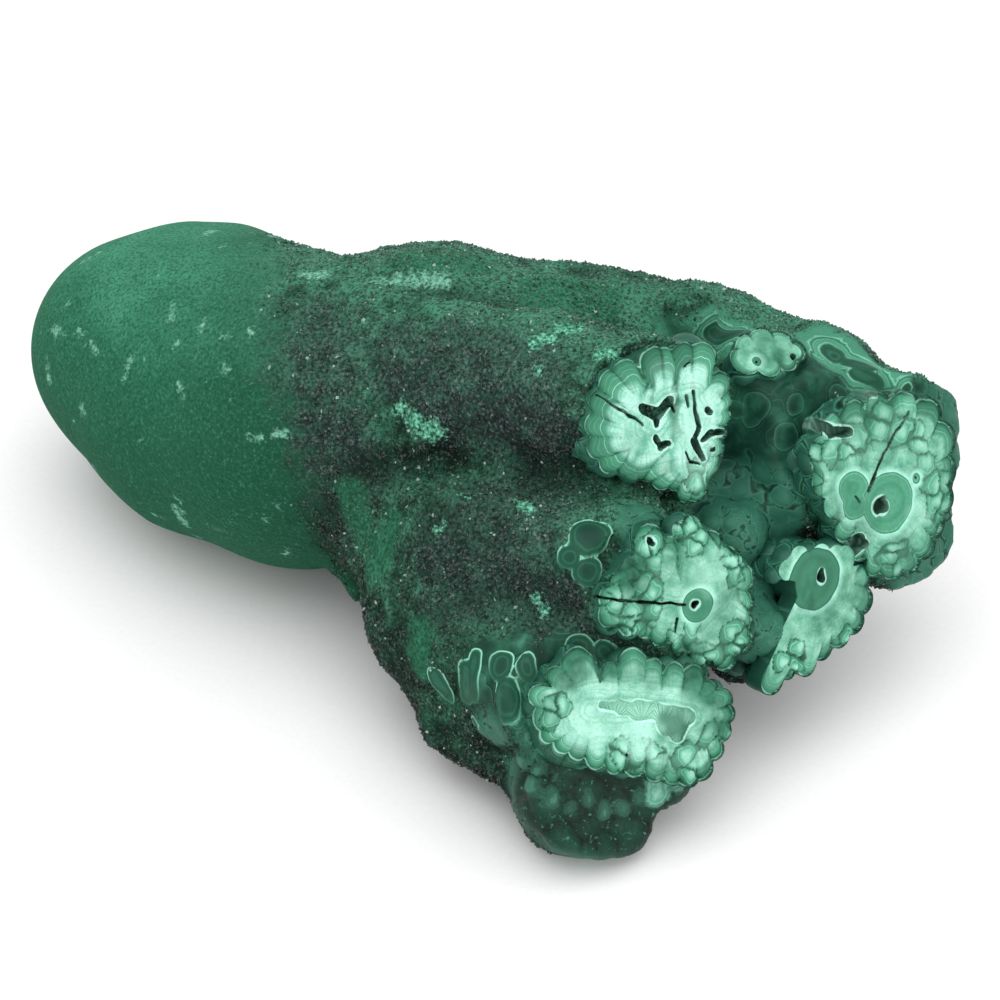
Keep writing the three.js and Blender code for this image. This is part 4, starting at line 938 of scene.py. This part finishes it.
def banded_material():
    """Broken malachite: growth bands from pale mint to dark green, with dark glossy lobes on the outside;
    painted shade in the creases between those lobes and inside the openings.
    """
    material, node = new_material("banded malachite section")
    where = node("ShaderNodeTexCoord", out="Object")
    (face, wall, lip, pit, depth, age, heart, gap, disc, tone, shade, beside, pale, blob, clump, rim,
     disc_light) = (
        node("ShaderNodeAttribute", out="Fac", attribute_name=name)
        for name in ("face", "wall", "lip", "pit", "depth", "age", "heart", "gap", "disc", "tone", "shade",
                     "beside", "pale", "blob", "clump", "rim", "disc_light"))
    fine, cloud = (node("ShaderNodeTexNoise", {"Vector": where, "Scale": 1000 / size, "Detail": 5})
                   for size in (0.4, 2.0))
    lines, fibre, rings = (
        node("ShaderNodeTexNoise", {"W": along, "Scale": per_mm, "Detail": 4}, noise_dimensions="1D")
        for along, per_mm in ((depth, 3.4), (beside, 4.0), (heart, 1.9)))
    half = node("ShaderNodeMath", {0: age, 1: 0.5, 2: 0.1}, operation="MULTIPLY_ADD")
    base = node("ShaderNodeValToRGB", {0: half}, stops=[
        (0.0, "#1c4a39"), (0.1, "#276650"), (0.2, "#35805f"), (0.34, "#4b9777"), (0.375, "#549f81"),
        (0.385, "#b4eed9"), (0.395, "#4d9a7b"), (0.46, "#58a285"), (0.56, "#78c0a5"), (0.7, "#90d3bb")])
    mint = node("ShaderNodeValToRGB", {0: cloud}, stops=[
        (0.32, "#71bfa3"), (0.42, "#98dac3"), (0.52, "#abe8d3"), (0.66, "#c0f5e4")])
    deeper = node("ShaderNodeValToRGB", {0: cloud},
                  stops=[(0.34, "#44896c"), (0.5, "#60a788"), (0.66, "#86c4a6")])
    mint = node("ShaderNodeMix", {0: pale, 6: deeper, 7: mint}, out=2, data_type="RGBA")
    grown = node("ShaderNodeValToRGB", {0: age}, stops=[(0.75, 0.0), (1.15, 1.0)])
    strong = node("ShaderNodeMapRange", {0: grown, 3: 0.2, 4: 0.13})
    near = node("ShaderNodeMapRange", {0: heart, 1: 0.0, 2: 4.0, 3: 0.65, 4: 0.1})
    banded = node("ShaderNodeValToRGB", {0: rings}, stops=[(0.48, 0.0), (0.62, 0.8)])
    darks = node("ShaderNodeValToRGB", {0: lines}, stops=[(0.52, 0.0), (0.62, 0.8)])
    lights = node("ShaderNodeValToRGB", {0: lines}, stops=[(0.36, 0.85), (0.45, 0.0)])
    beyond = node("ShaderNodeMath", {0: 1.0, 1: grown}, operation="SUBTRACT")
    toned = node("ShaderNodeValToRGB", {0: tone}, stops=[(0.35, 0.0), (1.0, 0.65)])
    creased = node("ShaderNodeValToRGB", {0: gap}, stops=[(0.0, 0.95), (0.1, 0.75), (0.3, 0.0)])
    apart = node("ShaderNodeMapRange", {0: age, 1: 0.6, 2: 1.3, 3: 1.0, 4: 0.12})
    covers = [node("ShaderNodeMath", {0: a, 1: b}, operation="MULTIPLY") for a, b in (
        (banded, near), (darks, strong), (lights, strong), (toned, beyond), (creased, apart))]
    fibrous = node("ShaderNodeValToRGB", {0: fibre}, stops=[(0.5, 0.0), (0.7, 0.3)])
    rosette = node("ShaderNodeValToRGB", {0: clump}, stops=[
        (0.0, "#a8e4cf"), (0.2, "#8ccfb5"), (0.32, "#5fae90"), (0.4, "#479676"), (0.44, "#86ccb2"),
        (0.48, "#458f70"), (0.7, "#34785b"), (0.85, "#174536")])
    rosettes = node("ShaderNodeMapRange", {0: disc_light, 3: 1.0, 4: 0.65})
    clumped = node("ShaderNodeMath", {0: blob, 1: rosettes}, operation="MULTIPLY")
    rimmed = node("ShaderNodeValToRGB", {0: rim}, stops=[(0.0, 0.0), (0.05, 0.85), (0.2, 0.85), (0.32, 0.0)])
    for cover, tint in ((grown, mint), (covers[0], "#5fa98c"), (covers[1], "#286e53"), (covers[2], "#b6f0dd"),
                        (fibrous, "#3d8a6d"), (covers[3], "#205c46"), (rimmed, "#a5e3cd"),
                        (covers[4], "#164a37"), (clumped, rosette)):
        base = node("ShaderNodeMix", {0: cover, 6: base, 7: tint}, out=2, data_type="RGBA")
    centred = node("ShaderNodeMath", {0: disc, 1: 0.2, 2: 0.5}, operation="MULTIPLY_ADD")
    dull = node("ShaderNodeValToRGB", {0: centred}, stops=[
        (0.0, "#3a7d61"), (0.25, "#2e6c51"), (0.42, "#3a7b60"), (0.49, "#255e47")])
    bright = node("ShaderNodeValToRGB", {0: centred}, stops=[
        (0.0, "#559f80"), (0.2, "#43906e"), (0.3, "#539f7e"), (0.42, "#4f9b7b"), (0.46, "#6ab493"),
        (0.49, "#3a8062")])
    inner = node("ShaderNodeMix", {0: disc_light, 6: dull, 7: bright}, out=2, data_type="RGBA")
    worn = node("ShaderNodeValToRGB", {0: fine}, stops=[(0.4, 0.16), (0.6, 0.0)])
    inner = node("ShaderNodeMix", {0: worn, 6: inner, 7: "#2f765a"}, out=2, data_type="RGBA")
    ringed = node("ShaderNodeValToRGB", {0: disc}, stops=[(0.0, 1.0), (0.08, 0.0)])
    hoop = node("ShaderNodeValToRGB", {0: disc}, stops=[(0.0, 0.0), (0.08, 0.85), (0.25, 0.7), (0.9, 0.0)])
    paler = node("ShaderNodeMath", {0: shade, 1: 1.0}, operation="MULTIPLY", use_clamp=True)
    darker = node("ShaderNodeMath", {0: shade, 1: -1.0}, operation="MULTIPLY", use_clamp=True)
    shadow = node("ShaderNodeValToRGB", {0: cloud}, stops=[(0.35, "#174b38"), (0.65, "#3b8065")])
    specks = node("ShaderNodeValToRGB", {0: fine}, stops=[(0.35, 0.16), (0.5, 0.0)])
    lipped = node("ShaderNodeValToRGB", {0: lip}, stops=[(0.0, 0.75), (0.2, 0.5), (0.32, 0.0)])
    # Flank lobes of the finger ends: painted near-black where two lobes meet, as shade in the crease between
    # them; the paler ring is their own outline.
    outer = node("ShaderNodeValToRGB", {0: gap}, stops=[
        (0.0, "#0e2019"), (0.06, "#21503f"), (0.18, "#4b8f76"), (0.24, "#2c6352"), (0.7, "#275949")])
    outward = node("ShaderNodeMath", {0: 1.0, 1: face}, operation="SUBTRACT")
    # Painted shade inside the openings: where pit is low, the walls of the openings are painted dark green.
    opening_shade = node("ShaderNodeMath", {0: 1.0, 1: pit}, operation="SUBTRACT")
    walls = node("ShaderNodeValToRGB", {0: fibre}, stops=[(0.4, "#b8eeda"), (0.6, "#6fb79b")])
    for cover, tint in ((darker, "#2d6a55"), (opening_shade, "#143a2d")):
        walls = node("ShaderNodeMix", {0: cover, 6: walls, 7: tint}, out=2, data_type="RGBA")
    for cover, tint in ((hoop, "#aeeeda"), (ringed, inner), (paler, "#c0f8e6"), (darker, shadow),
                        (specks, "#2f7459"), (lipped, "#c8ffee"), (outward, outer), (wall, walls)):
        base = node("ShaderNodeMix", {0: cover, 6: base, 7: tint}, out=2, data_type="RGBA")
    bump = node("ShaderNodeBump", {"Height": lines, "Strength": 0.2, "Distance": 0.0002})
    shader = node("ShaderNodeBsdfPrincipled", {
        "Base Color": base, "Roughness": 0.38, "Specular IOR Level": 0.2, "Normal": bump})
    node("ShaderNodeOutputMaterial", {0: shader})
    return material


def floor_material():
    """Matt white paper floor, with the faint tooth of heavy paper."""
    material, node = new_material("white paper")
    where = node("ShaderNodeTexCoord", out="Object")
    tooth = node("ShaderNodeTexNoise", {"Vector": where, "Scale": 1000 / 0.8, "Detail": 2})
    tint = node("ShaderNodeValToRGB", {0: tooth}, stops=[(0.3, "#f5f5f5"), (0.7, "#f8f8f8")])
    shader = node("ShaderNodeBsdfPrincipled", {"Base Color": tint, "Roughness": 0.9})
    node("ShaderNodeOutputMaterial", {0: shader})
    return material


# ---- the add-on ----


class MalachiteSettings(bpy.types.PropertyGroup):
    body_step: bpy.props.FloatProperty(
        name="Body detail", description="Pitch of the body's surface mesh", default=0.64 * MM, unit="LENGTH")
    grain_density: bpy.props.FloatProperty(
        name="Grain density", description="Grains on each square metre of full crust", default=1.6e6, min=0)
    grain_size: bpy.props.FloatProperty(
        name="Grain size", description="Half-width of a grain", default=0.27 * MM, unit="LENGTH")
    grain_layers: bpy.props.IntProperty(
        name="Grain layers", description="How many lots of grains are scattered", default=3, min=1)
    section_step: bpy.props.FloatProperty(
        name="Section detail", description="Pitch of the broken ends' surface mesh", default=0.22 * MM,
        unit="LENGTH")


def body_values(vertices, outward):
    """The height of the crust's relief at each vertex of the skin, and the numbers that colour it."""
    border = vertices[:, 0] + 0.32 * (vertices[:, 2] - 30)
    ragged = border + 3 * lattice_noise(vertices, 5, 3) + 2.5 * lattice_noise(vertices, 1.5, 6)
    crust = smoothstep(VELVET_END, CRUST_START, ragged)
    patches = lattice_noise(vertices, 3.2, 33) + 0.4 * lattice_noise(vertices, 1.2, 34)
    patchy = 0.25 + 0.75 * smoothstep(-0.35, 0.35, patches)
    lumpy = soft_spots(vertices, LUMPY, 2)
    polished = soft_spots(vertices + 1.2 * lattice_noise(vertices, 2.5, 17)[:, None], POLISHED, 1.5)
    uneven = shaken(vertices, 0.35, 1.8, (18, 19, 20))
    window, edge = flush_lobes(vertices, uneven)
    near, second, _middle = pebble_noise(vertices, 2.4, 5)
    near_wide, second_wide, _middle = pebble_noise(uneven, 4.6, 28)
    hang, paleness = hanging_lobes(uneven)
    under = soft_spots(vertices, UNDER, 3)
    strip = soft_spots(uneven, STRIP, 1.5)
    flat = np.maximum(np.maximum(lumpy, polished), smoothstep(-0.2, 0.2, window))
    grit, waves = lattice_noise(vertices, 1.5, 2), lattice_noise(vertices, 3.4, 7)
    # rise: how far the crust's bumps stand up, which the crust colour turns into painted light on them and
    # painted shade between them.
    rise = 0.5 + 0.9 * (0.6 - near) + 0.35 * grit + 0.3 * waves
    relief = crust * (1 - flat) * (0.3 * (0.6 - near) + 0.2 * grit)
    relief += crust * (0.75 * lattice_noise(vertices, 7.5, 1) + 0.3 * waves)
    relief -= 0.3 * crust
    relief += under * 1.6 * np.sqrt(np.clip(1 - 1.5 * near_wide * near_wide, 0, 1)) + 0.9 * np.sqrt(hang)
    relief += lumpy * (0.5 - 0.3 * under) * np.sqrt(np.clip(1 - 1.7 * near * near, 0, 1))
    relief += 0.25 * lattice_noise(vertices, 14, 4)
    lowest = in_face(FINGERS["lowest"], vertices)
    close = 1 - smoothstep(14, 18, np.hypot(lowest[:, 0], lowest[:, 1]))
    relief *= 1 - close * smoothstep(-4.5, -2.2, lowest[:, 2])
    marks = soft_spots(vertices, SCRATCHES[-2:] + CHIPS + VELVET[3:5], 1)
    bare = np.maximum(np.maximum(flat, strip), marks)
    return relief, dict(
        crust=crust, lumpy=lumpy, polished=polished, window=0.5 + window * 0.05, edge=edge, strip=strip,
        # gap, hollow: distance between the two nearest lobes or clumps; the crust colour paints it near-black
        # where they meet, as shade in the crease.
        gap=second - near, wide=near_wide, hollow=second_wide - near_wide, rise=rise, hang=hang,
        # upward: how far each vertex faces up, which the crust colour turns into painted top light.
        paleness=paleness, under=under, upward=outward[:, 2], neck=smoothstep(-50, -24, border),
        grains=crust * patchy * (1 - bare) * smoothstep(0.8, 2.0, vertices[:, 2]),
        # dark: painted shade in the creases, and at half strength over the wider shaded areas.
        dark=np.maximum(soft_spots(vertices, SHADED_CREASES, 4), 0.5 * soft_spots(vertices, SHADED_AREAS, 4)),
        grey=soft_spots(shaken(vertices, 2, 3, (11, 12, 13)), GREY, 6),
        velvet=soft_spots(shaken(vertices, 0.8, 2, (14, 15, 16)), VELVET, 2),
        scratch=soft_spots(vertices, SCRATCHES + stump_marks(vertices, outward, crust), 1.6),
        chip=soft_spots(vertices, CHIPS, 2.2))


class MALACHITE_OT_body(bpy.types.Operator):
    """Build the stump, neck and crusted fingers as one closed skin"""
    bl_idname = "malachite.body"
    bl_label = "Stone body"

    def execute(self, context):
        step = context.scene.malachite.body_step / MM
        vertices, quads = surface(body_field, BODY_LOW, BODY_HIGH, step)
        vertices = settle(vertices, body_field, 0.2 * step)
        outward = normals_of(vertices, quads)
        relief, values = body_values(vertices, outward)
        grounded = smoothstep(0.1, 1.5, vertices[:, 2])
        moved = vertices + outward * (relief * grounded)[:, None]
        moved[:, 2] = np.maximum(moved[:, 2], 0)
        piece = make_piece("stone_body", moved, quads, crust_material(), **values)
        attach(piece, "root")
        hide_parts(NODE)
        return {"FINISHED"}


class MALACHITE_OT_grains(bpy.types.Operator):
    """Scatter crystal grains over the crust"""
    bl_idname = "malachite.grains"
    bl_label = "Crust grains"

    def execute(self, context):
        body = bpy.data.objects.get("stone_body")
        if body is None:
            raise RuntimeError("build the stone body first")
        settings = context.scene.malachite
        tree, material = grain_nodes(), grain_material()
        for number in range(settings.grain_layers):
            holder = bpy.data.objects.new("grain holder", body.data)
            context.scene.collection.objects.link(holder)
            modifier = holder.modifiers.new("grains", "NODES")
            modifier.node_group = tree
            for label, value in (("Density", settings.grain_density),
                                 ("Size", settings.grain_size * (0.8 + 0.25 * number)),
                                 ("Seed", number + 1), ("Material", material)):
                socket = next(item for item in tree.interface.items_tree if item.name == label)
                modifier[socket.identifier] = value
            ready = holder.evaluated_get(context.evaluated_depsgraph_get())
            mesh = bpy.data.meshes.new_from_object(ready)
            bpy.data.objects.remove(holder)
            piece = bpy.data.objects.new("crust_grains_%d" % (number + 1), mesh)
            context.scene.collection.objects.link(piece)
            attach(piece, "root")
        return {"FINISHED"}


def section_mesh(finger, bars, step):
    """Vertices and quads of a finger end, in face coordinates."""
    field = section_field(finger, bars)
    ends = np.array([end[:2] for bar in bars for end in bar])
    reach = max(bar[0][3] for bar in bars) + 1
    low = (*(ends.min(0) - reach), -SECTION_DEPTH - 3)
    high = (*(ends.max(0) + reach), 2 * step)
    q, quads = surface(field, low, high, step)
    return settle(q, field, 0.2 * step), quads


def section_values(finger, bars, q):
    """How far the break is sunk at each vertex of a finger end, and the numbers that colour it."""
    depth, heart, gap, owner, beside = growth(finger, q)
    age, rim = depth / finger["rind"], depth.copy()
    disc = np.full(len(q), 9.0)
    for s, t, radius in finger["discs"]:
        away = np.hypot(q[:, 0] - s, q[:, 1] - t)
        disc = np.minimum(disc, away - radius + 0.15 * lattice_noise(q, 1.5, 21))
    face = smoothstep(-0.3, -0.1, q[:, 2])
    tone = np.random.RandomState(len(bars)).uniform(0, 1, len(finger["lobes"]))[owner]
    shade = np.zeros(len(q))
    cloudy = shaken(q, 0.7, 1.6, (22, 23, 24))
    for s, t, radius, amount in finger["shades"]:
        away = np.hypot(cloudy[:, 0] - s, cloudy[:, 1] - t)
        shade += amount * (1 - smoothstep(0.4 * radius, radius, away))
    wall = (1 - smoothstep(0.1, 0.3, slot_field(finger, q * (1, 1, 0)))) * (1 - face)
    wide_slots = [slot for slot in finger["slots"] if slot[4] > DEEP_SLOT]
    lip = slot_field(dict(finger, slots=wide_slots), q * (1, 1, 0))
    depth += 0.25 * lattice_noise(q, 1.5, 26) + 0.08 * lattice_noise(q, 0.6, 27)
    heart += 0.3 * lattice_noise(q, 1.3, 26)
    gap = np.where(face > 0, gap, lobe_gap(q, bars))
    warped = shaken(q, 0.4, 1.1, (29, 31, 32)) * (1, 1, 0)
    clump, beyond, centre = pebble_noise(warped, finger["blob_size"], 30, flat=True)
    clump = np.where(beyond - clump < 0.1, 0.9, clump)
    spots = [((s, t, 0), (s, t, 0), radius) for s, t, radius in finger["blobs"]]
    blob = soft_spots(centre * (1, 1, 0), spots, 0.6) * smoothstep(0.2, 0.6, disc)
    sunk = 0.8 * np.exp(-np.maximum(depth, 0) / 0.6)
    sunk += 0.4 * np.exp(-gap / 0.3) * (heart > 0) * (age < 1.2)
    sunk -= 0.7 * blob * (0.6 - np.minimum(clump, 0.9))
    sunk += finger["rough"] * (1 + lattice_noise(q, 1.7, 25))
    sunk += 0.25 * (tone - 0.5) * (heart > 0) * (heart < 9)
    return sunk * face, dict(
        depth=depth, gap=gap, disc=disc, face=face, heart=heart, tone=tone, shade=shade, beside=beside,
        age=depth / finger["rind"], wall=wall, lip=lip, rim=rim, pit=finger["pit"], pale=finger["pale"],
        blob=blob, clump=clump, disc_light=finger["disc_light"])


class MALACHITE_OT_sections(bpy.types.Operator):
    """Build the broken finger ends with their lobes, openings and growth bands"""
    bl_idname = "malachite.sections"
    bl_label = "Broken finger ends"

    def execute(self, context):
        step = context.scene.malachite.section_step / MM
        material = banded_material()
        for name, finger in FINGERS.items():
            bars = lobe_bars(name, finger)
            q, quads = section_mesh(finger, bars, step)
            sunk, values = section_values(finger, bars, q)
            q[:, 2] -= sunk
            vertices = np.array(finger["at"]) + q @ face_axes(finger)
            piece = make_piece("finger_end_" + name, vertices, quads, material, **values)
            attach(piece, "root")
        return {"FINISHED"}


class MALACHITE_OT_stage(bpy.types.Operator):
    """Set the floor, the soft lights and the camera"""
    bl_idname = "malachite.stage"
    bl_label = "Floor, lights and camera"

    def execute(self, context):
        scene = context.scene
        mesh = bpy.data.meshes.new("floor")
        corners = [(x * FLOOR_HALF, y * FLOOR_HALF, 0) for x, y in ((-1, -1), (1, -1), (1, 1), (-1, 1))]
        mesh.from_pydata(corners, [], [(0, 1, 2, 3)])
        mesh.materials.append(floor_material())
        floor = bpy.data.objects.new("floor", mesh)
        scene.collection.objects.link(floor)
        for name, place, size, power in LIGHTS:
            lamp = bpy.data.lights.new(name, "AREA")
            lamp.size, lamp.energy = size, power
            light = bpy.data.objects.new(name, lamp)
            light.location = place
            light.rotation_euler = (-Vector(place)).to_track_quat("-Z", "Y").to_euler()
            scene.collection.objects.link(light)
        world = bpy.data.worlds.new("soft white room")
        world.use_nodes = True
        background = world.node_tree.nodes["Background"]
        background.inputs[0].default_value = (1, 1, 1, 1)
        background.inputs[1].default_value = ROOM_LIGHT
        scene.world = world
        scene.view_settings.view_transform = "Standard"
        lens = bpy.data.cameras.new("camera")
        lens.lens, lens.sensor_width = LENS, SENSOR
        camera = bpy.data.objects.new("camera", lens)
        target = Vector(to_frame(np.array(AIM)))
        elevation = math.radians(CAMERA_ELEVATION)
        camera.location = target + Vector((0, -math.cos(elevation), math.sin(elevation))) * CAMERA_DISTANCE
        camera.rotation_euler = (target - camera.location).to_track_quat("-Z", "Y").to_euler()
        scene.collection.objects.link(camera)
        scene.camera = camera
        return {"FINISHED"}


class MALACHITE_PT_panel(bpy.types.Panel):
    bl_label = "Malachite specimen"
    bl_idname = "MALACHITE_PT_panel"
    bl_space_type = "VIEW_3D"
    bl_region_type = "UI"
    bl_category = "Malachite"

    def draw(self, context):
        layout = self.layout
        settings = context.scene.malachite
        layout.prop(settings, "body_step")
        for name in ("section_step", "grain_density", "grain_size", "grain_layers"):
            layout.prop(settings, name)
        for operator in (MALACHITE_OT_body, MALACHITE_OT_grains, MALACHITE_OT_sections, MALACHITE_OT_stage):
            layout.operator(operator.bl_idname)


CLASSES = (MalachiteSettings, MALACHITE_OT_body, MALACHITE_OT_grains, MALACHITE_OT_sections,
           MALACHITE_OT_stage, MALACHITE_PT_panel)


def register():
    for cls in CLASSES:
        bpy.utils.register_class(cls)
    bpy.types.Scene.malachite = bpy.props.PointerProperty(type=MalachiteSettings)


def unregister():
    del bpy.types.Scene.malachite
    for cls in reversed(CLASSES):
        bpy.utils.unregister_class(cls)


def main():
    register()
    bpy.ops.malachite.body()
    bpy.ops.malachite.grains()
    bpy.ops.malachite.sections()
    bpy.ops.malachite.stage()


if __name__ == "__main__":
    main()
